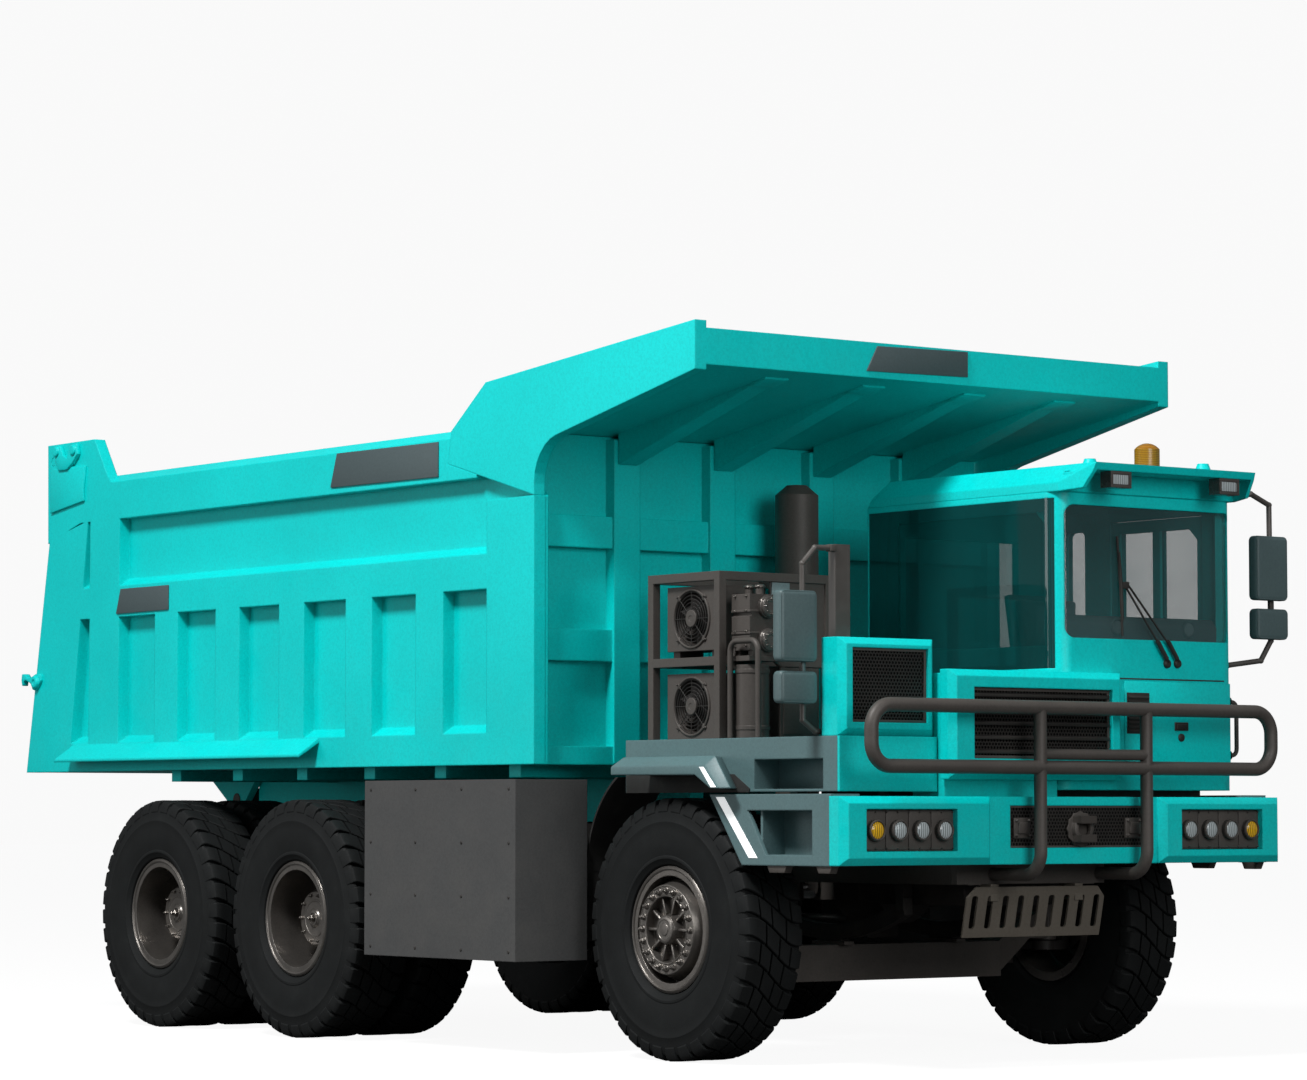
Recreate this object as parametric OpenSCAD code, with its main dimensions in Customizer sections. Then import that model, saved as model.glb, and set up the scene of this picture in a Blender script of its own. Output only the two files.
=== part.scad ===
// Wide-body mining dump truck with three axles, an offset cab and a front-lift tipping body.
// Millimetres. X points forward, Y to the driver's left, Z up.
// The origin is on the ground at mid-length. Inside from_axle(), X counts from the front axle.

/* [Axles] */
// Front axle to middle axle
wheelbase = 3393; // [3360:1:3450]
// Middle axle to rear axle
tandem = 1686; // [1600:2:1720]
// Distance between the front tyres' centres
front_track = 2890; // [2870:2:2920]
// Distance between the middles of the twin wheels
rear_track = 3120; // [3080:2:3160]
// Spacing of the two tyres of a twin
dual_spacing = 500; // [490:2:520]

/* [Wheels] */
// Outside diameter of a tyre over its lugs
tyre_d = 1490; // [1460:2:1500]
// Section width of a tyre
tyre_w = 430; // [410:2:440]
// Diameter over the rim's flanges
rim_d = 719; // [700:1:740]
// Width of the rim between its flanges
rim_w = 330; // [320:2:345]

/* [Steering] */
// Distance between the kingpins
kingpin_track = 2460; // [2440:2:2480]
// Kingpin to track rod joint, measured backwards
steer_arm = 280; // [260:2:300]

/* [Frame] */
// Width over the two chassis rails
rail_span = 960; // [940:2:980]
// Height of a rail
rail_h = 340; // [320:2:350]
// Height of the rails' underside above the ground
rail_z = 1000; // [990:1:1005]
// Front axle back to the body pivot
pivot_back = 6500; // [6460:2:6540]

/* [Body] */
// Width over the body's posts
bed_w = 3654; // [3600:2:3700]
// Height of the body's underside above the ground
bed_z = 1690; // [1680:1:1710]
// Height of the side walls from the body's underside to the top rail's crest
bed_h = 2030; // [2000:2:2060]
// Thickness of the body's sheets
bed_sheet = 25; // [20:1:30]
// Depth of the posts and rails in front of the sheet
post_depth = 80; // [70:1:90]
// Front axle back to the front posts' faces
bed_front_back = 1051; // [1040:1:1060]
// Length of the body along its bottom rail
bed_len = 6171; // [6140:1:6200]
// Pitch of the side ribs
rib_pitch = 788; // [770:1:800]
// Width of a side rib
rib_w = 300; // [260:2:320]
// Backward lean of the tail
tail_lean = 10; // [9:0.5:11]

/* [Canopy] */
// Reach of the canopy in front of the front axle
canopy_reach = 500; // [460:2:540]
// Height of the front lip's lower edge above the ground
lip_z = 3913; // [3900:1:3930]
// Height of the front lip
lip_h = 207; // [180:1:230]

/* [Cab] */
// Width of the cab
cab_w = 1410; // [1400:2:1420]
// Offset of the cab's left side from the centreline
cab_left = 1490; // [1480:1:1500]
// Front axle to the cab's front
cab_front = 1400; // [1390:1:1410]
// Length of the cab
cab_len = 1680; // [1660:2:1700]
// Height of the cab's underside above the ground
cab_z = 1535; // [1530:1:1545]
// Height of the cab from its underside to the roof's edge
cab_h = 1695; // [1680:2:1710]
// Thickness of the cab's walls
cab_wall = 60; // [50:1:70]

/* [Front] */
// Width of the bumper
bumper_w = 3330; // [3300:2:3360]
// Front axle to the bumper's front
bumper_front = 1590; // [1580:1:1600]
// Height of the bumper's lower edge above the ground
bumper_z = 1119; // [1110:1:1130]
// Height of the bumper
bumper_h = 376; // [370:1:380]
// Diameter of the bull bar's tube
bar_d = 78; // [70:1:80]
// Front axle to the bull bar
bar_front = 1650; // [1645:1:1660]
// Width of the bull bar's loop
bar_w = 3110; // [3080:2:3140]

/* [Hoist] */
// Outside diameter of the hoist's cover
hoist_d = 265; // [260:1:270]
// Front axle back to the hoist
hoist_back = 857; // [850:1:860]

/* [Hidden] */
$fn = 48;

// Colours
teal = [0.02, 0.62, 0.6];
fender_grey = [0.33, 0.45, 0.46];
dark_grey = [0.27, 0.26, 0.25];
rubber = [0.1, 0.11, 0.11];
steel = [0.6, 0.61, 0.62];
cast = [0.2, 0.2, 0.2];
glass = [0.35, 0.5, 0.52];
lamp_white = [0.9, 0.9, 0.85];
seat_cloth = [0.12, 0.12, 0.13];

// Overall reach and the front axle's place in the part's frame
hook_reach = 67;
bed_front_x = -bed_front_back;
bed_tail_x = bed_front_x - bed_len;
front_reach = bar_front + bar_d / 2;
tail_reach = hook_reach - bed_tail_x;
front_axle_x = (tail_reach - front_reach) / 2;

// Running clearances
pin_gap = 1;
move_gap = 6;

// Wheels and axles
axle_z = tyre_d / 2;
mid_x = -wheelbase;
rear_x = -wheelbase - tandem;
bogie_x = (mid_x + rear_x) / 2;
front_y = front_track / 2;
rear_y = rear_track / 2;
rim_flange_r = rim_d / 2;
rim_flange_h = 41;
rim_seat_r = rim_flange_r - rim_flange_h;
rim_wall = 14;
rim_flange_t = 15;
spindle_r = 70;
axle_end_r = 110;
kingpin_y = kingpin_track / 2;
kingpin_r = 42;

// Frame
rail_top = rail_z + rail_h;
rail_out = rail_span / 2;
rail_flange = 100;
rail_in = rail_out - rail_flange;
rail_t = 18;
pivot_x = -pivot_back;
pivot_z = 1500;
pivot_r = 45;
frame_tail = -pivot_back + 80;
frame_nose = 1250;

// Body
bed_half = bed_w / 2;
sheet_out = bed_half - post_depth;
sheet_in = sheet_out - bed_sheet;
bed_top = bed_z + bed_h;
bevel = 52;
bottom_rail_h = 190;
mid_rail_z = bed_z + 1050;
mid_rail_h = 210;
top_rail_h = 227;
top_rail_z = bed_top - bevel - top_rail_h - 31;
front_wall_x = bed_front_x - 150;
canopy_x = canopy_reach;
tail_slope = tan(tail_lean);

// Cab
cab_right = cab_left - cab_w;
cab_back = cab_front - cab_len;
cab_top = cab_z + cab_h;
roof_t = 154;

// Front
bumper_top = bumper_z + bumper_h;
bumper_t = 120;
bumper_back = bumper_front - bumper_t;
deck_z = 1800;
deck_t = 25;
deck_top = deck_z + deck_t;
deck_y = -1490;

// Hoist
hoist_x = -hoist_back;
hoist_pin_z = 960;
hoist_pin_r = 40;
hoist_top = 3400;
trunnion_z = 1750;

module from_axle() {
    translate([front_axle_x, 0, 0]) children();
}

module box(low, high) {
    translate(low) cube(high - low);
}

module both_sides() {
    children();
    mirror([0, 1, 0]) children();
}

module y_bar(x, z, r, y0, y1) {
    translate([x, y1, z]) rotate([90, 0, 0]) cylinder(h = y1 - y0, r = r);
}

module x_bar(y, z, r, x0, x1) {
    translate([x0, y, z]) rotate([0, 90, 0]) cylinder(h = x1 - x0, r = r);
}

// An outline in X and Z, from one Y to another
module plate_xz(y0, y1) {
    translate([0, y1, 0]) rotate([90, 0, 0]) linear_extrude(y1 - y0) children();
}

// An outline in Y and Z, from one X to another
module plate_yz(x0, x1) {
    translate([x0, 0, 0]) rotate([90, 0, 90]) linear_extrude(x1 - x0) children();
}

// A block whose front edges are bevelled
module bevel_box(low, high, cut) {
    intersection() {
        plate_xz(low[1], high[1]) nose_outline(low[0], high[0], low[2], high[2], cut);
        translate([0, 0, low[2]]) linear_extrude(high[2] - low[2])
            nose_outline(low[0], high[0], low[1], high[1], cut);
    }
}

// A rectangle with its two corners at the high end cut off
module nose_outline(u0, u1, v0, v1, cut) {
    polygon([[u0, v0], [u1 - cut, v0], [u1, v0 + cut], [u1, v1 - cut], [u1 - cut, v1], [u0, v1]]);
}

module round_rect(low, high, r) {
    translate([low[0] + r, low[1]]) square([high[0] - low[0] - 2 * r, high[1] - low[1]]);
    translate([low[0], low[1] + r]) square([high[0] - low[0], high[1] - low[1] - 2 * r]);
    for (u = [low[0] + r, high[0] - r], v = [low[1] + r, high[1] - r]) translate([u, v]) circle(r);
}

// A tube along a row of points, with a small ball at each bend
module bent_tube(points, r) {
    last = len(points) - 1;
    for (i = [0:last - 1]) rod(points[i], points[i + 1], r);
    for (i = [1:last - 1]) translate(points[i]) sphere(r + 2);
}

module rod(a, b, r) {
    run = b - a;
    reach = norm(run);
    translate(a) rotate([0, acos(run[2] / reach), atan2(run[1], run[0])]) cylinder(h = reach, r = r);
}

// Turns a shape drawn about Z onto a wheel's axle, with Z pointing outwards on the right side
module on_right_axle(x, y) {
    translate([x, -y, axle_z]) rotate([90, 0, 0]) children();
}

module frame_rail() {
    plate_yz(frame_tail, frame_nose)
        difference() {
            translate([rail_in, rail_z]) square([rail_flange, rail_h]);
            translate([rail_in - 1, rail_z + rail_t]) square([rail_flange - rail_t + 1, rail_h - 2 * rail_t]);
        }
}

module pivot_bracket() {
    plate_xz(rail_in + 15, rail_out - 25) {
        polygon([[pivot_x + 170, rail_top - 5], [frame_tail, rail_z + 100], [pivot_x - 70, pivot_z - 60],
            [pivot_x, pivot_z], [pivot_x + 90, pivot_z + 20]]);
        translate([pivot_x, pivot_z]) circle(100);
    }
    y_bar(pivot_x, pivot_z, pivot_r, rail_in + 15, rail_out + 65);
}

module hoist_cradle() {
    for (step = [-1, 1]) {
        box([hoist_x + step * 230 - 30, -rail_out + 5, rail_z + 20],
            [hoist_x + step * 230 + 30, rail_out - 5, rail_z + 120]);
    }
    both_sides() box([hoist_x - 210, 125, hoist_pin_z - 80], [hoist_x + 210, 155, rail_z + 80]);
    y_bar(hoist_x, hoist_pin_z, hoist_pin_r, -150, 150);
}

module rear_tow() {
    difference() {
        box([frame_tail - 110, -90, rail_z + 60], [frame_tail + 1, 90, rail_z + 160]);
        translate([frame_tail - 55, 0, rail_z]) cylinder(h = rail_h, r = 30);
    }
}

module frame_rails() {
    color(dark_grey) from_axle() {
        both_sides() {
            frame_rail();
            pivot_bracket();
            box([frame_nose - 1, rail_in + 10, rail_z + 150], [bumper_back, rail_out - 10, rail_top - 10]);
        }
        for (x = [frame_nose - 70, -500, mid_x + 760, bogie_x])
            y_bar(x, rail_z + rail_h / 2, 70, -rail_out + 5, rail_out - 5);
        box([frame_nose - 50, -560, rail_z + 5], [frame_nose, 560, rail_z + 150]);
        box([frame_tail, -rail_out + 5, rail_z + 20], [frame_tail + 60, rail_out - 5, rail_top - 20]);
        for (x = [cab_back + 80, cab_front - 400]) {
            box([x, cab_right + 10, cab_z - 45], [x + 100, cab_left - 10, cab_z]);
            box([x, rail_in + 15, rail_top - 5], [x + 100, rail_out - 15, cab_z - 40]);
        }
        hoist_cradle();
        rear_tow();
    }
}

beam_z = 430;
beam_h = 210;
beam_half = 90;
fist_r = 75;
fist_low = axle_z - 105;
fist_high = axle_z + 105;

module front_axle() {
    color(cast) from_axle() {
        difference() {
            union() {
                box([-beam_half, -800, beam_z], [beam_half, 800, beam_z + beam_h]);
                both_sides() {
                    plate_yz(-beam_half + 10, beam_half - 10)
                        polygon([[780, beam_z + 10], [kingpin_y - 190, fist_low + 10],
                            [kingpin_y - 40, fist_low + 10], [kingpin_y - 40, fist_high - 40],
                            [kingpin_y - 120, fist_high - 40], [780, beam_z + beam_h - 5]]);
                    translate([0, kingpin_y, fist_low]) cylinder(h = fist_high - fist_low, r = fist_r);
                }
            }
            both_sides() translate([0, kingpin_y, fist_low - 1]) cylinder(h = fist_high - fist_low + 2,
                r = kingpin_r + pin_gap);
        }
        both_sides() box([-150, rail_in + 15, beam_z + beam_h - 1],
            [150, rail_out - 15, beam_z + beam_h + 20]);
    }
}

diff_r = 320;
axle_tube_r = 150;
axle_pad_z = axle_z + axle_tube_r + 45;
prop_z = axle_z - 5;

module drive_axle(x) {
    y_bar(x, axle_z, axle_tube_r, -rear_y + 560, rear_y - 560);
    y_bar(x, axle_z, axle_end_r, -rear_y - 100, rear_y + 100);
    translate([x, 0, axle_z]) sphere(diff_r);
    x_bar(0, prop_z, 130, x + 200, x + 420);
    both_sides() box([x - 100, rail_out + 20, axle_z], [x + 100, rail_out + 140, axle_pad_z]);
}

module rear_axles() {
    color(cast) from_axle() {
        drive_axle(mid_x);
        drive_axle(rear_x);
        x_bar(0, prop_z, 60, rear_x, -250);
    }
}

spring_t = 90;
front_spring_r = 1500;
front_spring_half = 680;
rear_spring_r = 2500;
rear_spring_rise = rear_spring_r - sqrt(pow(rear_spring_r, 2) - pow(tandem / 2, 2));

module arc_spring(r, half) {
    intersection() {
        difference() {
            circle(r + spring_t, $fn = 96);
            circle(r, $fn = 96);
        }
        translate([-half, r / 2]) square([2 * half, r]);
    }
}

module suspension() {
    seat_z = beam_z + beam_h + 20;
    color(cast) from_axle() both_sides() {
        plate_xz(rail_in + 20, rail_out - 20) {
            translate([0, seat_z + 10 + spring_t + front_spring_r]) mirror([0, 1])
                arc_spring(front_spring_r, front_spring_half);
            translate([-110, seat_z]) square([220, 60]);
        }
        for (side = [-1, 1]) {
            box([side * (front_spring_half - 40) - 35, rail_in + 15, axle_z + 100],
                [side * (front_spring_half - 40) + 35, rail_out - 15, rail_z]);
        }
        plate_xz(rail_out + 25, rail_out + 135) {
            translate([bogie_x, axle_pad_z + rear_spring_rise - rear_spring_r])
                arc_spring(rear_spring_r, tandem / 2 - 1);
        }
        box([bogie_x - 90, rail_out, rail_z + 10],
            [bogie_x + 90, rail_out + 145, axle_pad_z + rear_spring_rise + 40]);
        for (x = [mid_x, rear_x]) box([x - 60, rail_out + 25, axle_pad_z],
            [x + 60, rail_out + 135, axle_pad_z + 40]);
    }
}

module engine() {
    color(cast) from_axle() {
        box([150, -rail_in + 20, rail_z - 120], [1080, rail_in - 20, cab_z - 60]);
        for (x = [300, 800]) both_sides() box([x, rail_in - 21, rail_top],
            [x + 100, rail_in + 60, rail_top + 40]);
        x_bar(0, prop_z + 240, 220, -250, 151);
        box([-249, -120, prop_z - 70], [-60, 120, prop_z + 200]);
    }
}

lamp_in = 852;
lamp_out = 1501;
lamp_low = bumper_z + 76;
lamp_high = bumper_top - 70;
lamp_depth = 60;
lamp_r = 57;
bumper_cut = 40;
recess_mid = 110;
recess_half = 530;
recess_right = recess_mid - recess_half - 160;
recess_left = recess_mid + recess_half + 60;
recess_depth = 50;
mesh_depth = 80;
mesh_low = bumper_z + 91;
mesh_high = bumper_top - 50;
jaw_half = 60;
jaw_low = bumper_z + 120;
jaw_high = bumper_z + 270;
jaw_plate = 45;
jaw_reach = 20;
jaw_pin_back = 12;
jaw_pin_r = 25;

module tow_jaw() {
    difference() {
        box([bumper_front - mesh_depth - 1, recess_mid - jaw_half, jaw_low],
            [bumper_front + jaw_reach, recess_mid + jaw_half, jaw_high]);
        box([bumper_front - 45, recess_mid - jaw_half - 1, jaw_low + jaw_plate],
            [bumper_front + jaw_reach + 1, recess_mid + jaw_half + 1, jaw_high - jaw_plate]);
        translate([bumper_front - jaw_pin_back, recess_mid, bumper_z]) cylinder(h = bumper_h,
            r = jaw_pin_r);
    }
}

module front_bumper() {
    color(teal) from_axle() {
        tow_jaw();
        difference() {
            union() {
                box([bumper_back, -bumper_w / 2, bumper_z],
                    [bumper_front - recess_depth, bumper_w / 2, bumper_top]);
                bevel_box([bumper_back, -bumper_w / 2, bumper_z],
                    [bumper_front, recess_right, bumper_top], bumper_cut);
                bevel_box([bumper_back, recess_left, bumper_z],
                    [bumper_front, bumper_w / 2, bumper_top], bumper_cut);
            }
            both_sides() box([bumper_front - lamp_depth, lamp_in, lamp_low],
                [bumper_front + 1, lamp_out, lamp_high]);
            box([bumper_front - mesh_depth, recess_mid - recess_half, mesh_low],
                [bumper_front + 1, recess_mid + recess_half, mesh_high]);
        }
    }
}

module lamp_cluster() {
    pitch = (lamp_out - lamp_in) / 4;
    mid_z = (lamp_low + lamp_high) / 2;
    box([bumper_front - lamp_depth, lamp_in + 4, lamp_low + 4],
        [bumper_front - 40, lamp_out - 4, lamp_high - 4]);
    for (i = [0:3]) x_bar(lamp_in + pitch * (i + 0.5), mid_z, lamp_r, bumper_front - 41, bumper_front - 8);
}

beacon_x = 1000;
beacon_y = 1165;
visor_front = cab_front + 250;
visor_z = cab_top + roof_t - 42;
beacon_r = 75;
beacon_h = 140;
dome_r = 95;
beacon_foot = 66;
tail_lamp = [215, 385];

module lamps() {
    color(lamp_white) from_axle() {
        both_sides() {
            lamp_cluster();
            box([frame_tail - 30, tail_lamp[0], rail_z + 120], [frame_tail, tail_lamp[1], rail_z + 230]);
        }
        for (y = [cab_right + 280, cab_left - 270])
            box([visor_front - 110, y - 80, visor_z - 95], [visor_front - 30, y + 80, visor_z]);
        translate([beacon_x, beacon_y, cab_top + roof_t]) {
            cylinder(h = beacon_foot, r = beacon_r - 30);
            translate([0, 0, beacon_foot - 1]) intersection() {
                cylinder(h = beacon_h, r = beacon_r);
                translate([0, 0, beacon_h - dome_r]) sphere(dome_r);
            }
        }
    }
}

bar_low = 1657;
bar_high = 1990;
bar_bend = 130;
bar_posts = [-293, 518];
bar_foot_z = rail_z + 60;

module bar_elbow(y, z, turn) {
    translate([bar_front, y, z]) rotate([90, 0, 90]) rotate([0, 0, turn])
        rotate_extrude(angle = 90) translate([bar_bend, 0]) circle(d = bar_d);
}

module bull_bar() {
    side = bar_w / 2 - bar_d / 2;
    bend_y = side - bar_bend;
    color(dark_grey) from_axle() {
        for (z = [bar_low, bar_high]) rod([bar_front, -bend_y, z], [bar_front, bend_y, z], bar_d / 2);
        both_sides() rod([bar_front, side, bar_low + bar_bend],
            [bar_front, side, bar_high - bar_bend], bar_d / 2);
        bar_elbow(bend_y, bar_high - bar_bend, 0);
        bar_elbow(-bend_y, bar_high - bar_bend, 90);
        bar_elbow(-bend_y, bar_low + bar_bend, 180);
        bar_elbow(bend_y, bar_low + bar_bend, 270);
        for (y = bar_posts) {
            rod([bar_front, y, bar_foot_z + bar_bend], [bar_front, y, bar_high - 5], bar_d / 2 - 3);
            translate([bar_front - bar_bend, y, bar_foot_z + bar_bend]) rotate([90, 0, 0])
                rotate([0, 0, 270])
                rotate_extrude(angle = 90) translate([bar_bend, 0]) circle(d = bar_d - 6);
            x_bar(y, bar_foot_z, bar_d / 2 - 3, frame_nose, bar_front - bar_bend);
        }
        rod([bar_front, bar_posts[0], 1731], [bar_front, bar_posts[1], 1731], bar_d / 2 - 8);
    }
}

module belly_guard() {
    slots = 9;
    slot_r = 16;
    guard_w = 1040;
    guard_h = 288;
    guard_t = 14;
    guard_lean = 12;
    pitch = guard_w / slots;
    color(dark_grey) from_axle() {
        translate([frame_nose - 20, 0, rail_z - 290])
            rotate([0, guard_lean, 0]) plate_yz(0, guard_t) difference() {
            polygon([[-guard_w / 2, 0], [guard_w / 2, 0], [guard_w / 2, guard_h - 60],
                [guard_w / 2 - 60, guard_h],
                [60 - guard_w / 2, guard_h], [-guard_w / 2, guard_h - 60]]);
            for (i = [0:slots - 1]) translate([pitch * (i - slots / 2 + 0.5), 0])
                round_rect([-slot_r - 6, 50], [slot_r + 6, guard_h - 50], slot_r);
        }
        both_sides() box([frame_nose - 45, 290, rail_z - 90], [frame_nose + 45, 350, rail_z + 5]);
    }
}

grille_out = cab_front + 100;
grille_right = -810;
grille_left = 495;
grille_low = 1590;
grille_high = 2200;
core_back = cab_front - 270;
cowl_back = 1180;
cowl_front = 1350;
cowl_right = -1476;
cowl_left = -790;
cowl_high = 2366;
screen_t = 14;
frame_cut = 38;
grille_rim = [165, 92];
grille_rim_low = 116;
grille_rim_high = 98;
cowl_rim = [80, 61];
cowl_rim_low = 75;
cowl_rim_high = 57;
panel_t = 20;
deck_panel_z = 1522;

module front_cowls() {
    color(teal) from_axle() {
        difference() {
            bevel_box([cab_front, grille_right, grille_low],
                [grille_out, grille_left, grille_high], frame_cut);
            box([cab_front + 40, grille_right + grille_rim[0], grille_low + grille_rim_low],
                [grille_out + 1, grille_left - grille_rim[1], grille_high - grille_rim_high]);
        }
        box([core_back, grille_right + 30, rail_top], [cab_front + 1, cab_right - 20, grille_high - 20]);
        difference() {
            bevel_box([cowl_back, cowl_right, deck_top], [cowl_front, cowl_left, cowl_high], frame_cut);
            box([cowl_front - 50, cowl_right + cowl_rim[0], deck_top + cowl_rim_low],
                [cowl_front + 1, cowl_left - cowl_rim[1], cowl_high - cowl_rim_high]);
        }
        box([cowl_front - panel_t, deck_y, deck_panel_z], [cowl_front, cowl_left, deck_top]);
    }
}

module slat_screen(x, y0, y1, z0, z1, pitch) {
    count = floor((z1 - z0 - 20) / pitch);
    difference() {
        box([x, y0, z0], [x + screen_t, y1, z1]);
        for (i = [0:count - 1])
            box([x - 1, y0 + 15, z0 + 15 + i * pitch],
                [x + screen_t + 1, y1 - 15, z0 + 15 + i * pitch + pitch / 2]);
    }
}

module grille_screens() {
    color(dark_grey) from_axle() {
        slat_screen(cab_front + 60, grille_right + grille_rim[0], grille_left - grille_rim[1],
            grille_low + grille_rim_low, grille_high - grille_rim_high, 40);
        slat_screen(cowl_front - 30, cowl_right + cowl_rim[0], cowl_left - cowl_rim[1],
            deck_top + cowl_rim_low, cowl_high - cowl_rim_high, 40);
    }
}

pocket_x0 = 602;
pocket_x1 = 1207;
deck_back = -600;

module deck() {
    front = cowl_front - panel_t;
    color(fender_grey) from_axle() difference() {
        union() {
            box([deck_back, deck_y, deck_z], [front, cowl_left, deck_top]);
            box([deck_back, cowl_left - 1, deck_z], [core_back - 10, cab_right - 20, deck_top]);
            box([deck_back, deck_y, deck_panel_z], [front, deck_y + 30, deck_top]);
            for (x = [-350, core_back - 130]) {
                box([x, deck_y + 1, deck_z - 100], [x + 80, -rail_in - 15, deck_z + 1]);
                box([x, -rail_out + 15, rail_top], [x + 80, -rail_in - 15, deck_z]);
            }
            box([pocket_x0 - 20, deck_y, deck_panel_z], [pocket_x1 + 20, deck_y + 200, deck_panel_z + 200]);
        }
        box([pocket_x0, deck_y - 1, deck_panel_z + 15], [pocket_x1, deck_y + 180, deck_panel_z + 180]);
    }
}

fender_out = 1780;
fender_low = 1612;
fender_high = 1705;
fender_back = -660;
fender_wall = 30;
fender_cut = 45;

module fender() {
    in = -deck_y;
    intersection() {
        plate_xz(in, fender_out)
            polygon([[fender_back, fender_low], [440, fender_low], [740, deck_panel_z - 5],
                [800, deck_panel_z + 40],
                [500, fender_high], [fender_back + 40, fender_high]]);
        plate_yz(fender_back, 801)
            polygon([[in, 0], [fender_out, 0], [fender_out, fender_high - fender_cut],
                [fender_out - fender_cut, fender_high], [in, fender_high]]);
    }
}

module fenders() {
    color(fender_grey) from_axle() both_sides() difference() {
        fender();
        translate([0, 0, -30]) plate_xz(-deck_y + fender_wall, fender_out - fender_wall - 15)
            polygon([[fender_back + 20, fender_low - 5], [430, fender_low - 5], [700, deck_panel_z - 5],
                [750, deck_panel_z + 30], [480, fender_high], [fender_back + 50, fender_high]]);
    }
}

step_inset = 15;
step_out = bumper_w / 2 - step_inset;
step_top = 1508;
step_low = 1116;
step_plate = 25;
step_depth = 200;
step_tray = 20;
step_hole_low = 1175;
step_hole_high = 1418;
step_hole_front = 1307;

module side_step() {
    difference() {
        plate_xz(step_out - step_plate, step_out)
            polygon([[400, step_top], [690, step_low], [bumper_back, step_low], [bumper_back, step_top]]);
        plate_xz(step_out - step_plate - 1, step_out + 1)
            polygon([[740, step_hole_high], [step_hole_front, step_hole_high],
                [step_hole_front, step_hole_low],
                [900, step_hole_low]]);
    }
    box([430, -deck_y, step_top - 18], [bumper_back, step_out - step_plate + 1, step_top]);
    difference() {
        box([830, step_out - step_depth, step_hole_low - step_tray - 5],
            [step_hole_front + step_tray, step_out - step_plate + 1, step_hole_high + step_tray]);
        box([850, step_out - step_depth + step_tray, step_hole_low],
            [step_hole_front, step_out, step_hole_high]);
    }
    box([bumper_back - 30, step_out - step_depth, step_low],
        [bumper_back, step_out - step_plate + 1, step_top]);
}

module side_steps() {
    color(fender_grey) from_axle() both_sides() side_step();
}

guard_in = 1130;
guard_out = 1520;
guard_mid = [-286, 1062];
guard_r = 659;
guard_t = 14;
flap_low = 655;

module mud_guards() {
    color(rubber) from_axle() both_sides() {
        plate_xz(guard_in, guard_out) {
            intersection() {
                translate(guard_mid) difference() {
                    circle(guard_r + guard_t / 2, $fn = 192);
                    circle(guard_r - guard_t / 2, $fn = 192);
                }
                translate([guard_mid[0] - guard_r - 50, guard_mid[1]])
                    square([500, fender_low - guard_mid[1]]);
            }
            translate([guard_mid[0] - guard_r - 5, flap_low]) square([10, guard_mid[1] + 20 - flap_low]);
        }
        rod([guard_mid[0] - guard_r - 15, rail_out, 1120],
            [guard_mid[0] - guard_r - 15, guard_in + 60, 1120], 24);
    }
}

box_front = -912;
box_back = -2508;
box_out = 2055;
box_w = 515;
box_in = box_out - box_w;
box_low = 545;
box_high = 1600;

module side_boxes() {
    color(dark_grey) from_axle() both_sides() {
        box([box_back, box_in, box_low], [box_front, box_out, box_high]);
        for (x = [box_front - 400, box_back + 300])
            box([x, rail_out, rail_z + 60], [x + 100, box_in + 1, rail_z + 220]);
    }
}

rack_front = 273;
rack_back = -399;
rack_right = -1480;
rack_left = -650;
rack_high = 2775;
post = 50;
rack_mid = 2240;
unit_x = -40;
unit_half = 230;
unit_low = [deck_top, rack_mid + post + 40];
unit_high = [2200, 2700];
unit_y = rack_right + 45;
unit_depth = 230;
fan_hole_r = 160;
fan_r = 150;
fan_y = unit_y + 20;
fan_t = 48;
fan_hole_depth = 100;
unit_z = (unit_low + unit_high) / 2;

shelf_right = -1420;
shelf_left = -1180;
shelf_front = 470;

module cooling_rack() {
    color(dark_grey) from_axle() {
        for (x = [rack_back, rack_front - post], y = [rack_right, rack_left - post])
            box([x, y, deck_top], [x + post, y + post, rack_high]);
        for (z = [rack_mid, rack_high - post]) {
            for (y = [rack_right, rack_left - post]) box([rack_back, y, z],
                [rack_front, y + post, z + post]);
            for (x = [rack_back, rack_front - post]) box([x, rack_right, z],
                [x + post, rack_left, z + post]);
        }
        box([rack_back + 1, rack_right + 1, rack_mid + 20],
            [rack_front - 1, rack_left - 1, rack_mid + post]);
        box([rack_front - 30, -1100, rack_mid + post - 1],
            [rack_front - 15, rack_left - post + 1, rack_high - post + 1]);
        box([rack_front - 1, shelf_right, rack_mid + 20], [shelf_front, shelf_left, rack_mid + post]);
    }
}

module cooler_units() {
    color(dark_grey) from_axle() {
        difference() {
            for (i = [0, 1]) box([unit_x - unit_half, unit_y, unit_low[i]],
                [unit_x + unit_half, unit_y + unit_depth, unit_high[i]]);
            for (z = unit_z) y_bar(unit_x, z, fan_hole_r, unit_y - 1, unit_y + fan_hole_depth);
        }
        for (z = unit_z) y_bar(unit_x, z, 50, fan_y + fan_t + 2, unit_y + fan_hole_depth + 1);
        for (x = [unit_x - unit_half + 20, unit_x + unit_half - 80])
            box([x, unit_y + 30, rack_mid + post], [x + 60, unit_y + unit_depth - 30, unit_low[1] + 1]);
    }
}

module fan(z) {
    y_bar(unit_x, z, 45, fan_y, fan_y + fan_t);
    for (i = [0:5]) translate([unit_x, fan_y + fan_t / 2, z]) rotate([0, 60 * i, 0]) rotate([0, 0, 30])
        box([-35, -3, 30], [35, 3, fan_r - 8]);
}

module fan_upper() {
    color(cast) from_axle() fan(unit_z[1]);
}

module fan_lower() {
    color(cast) from_axle() fan(unit_z[0]);
}

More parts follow.
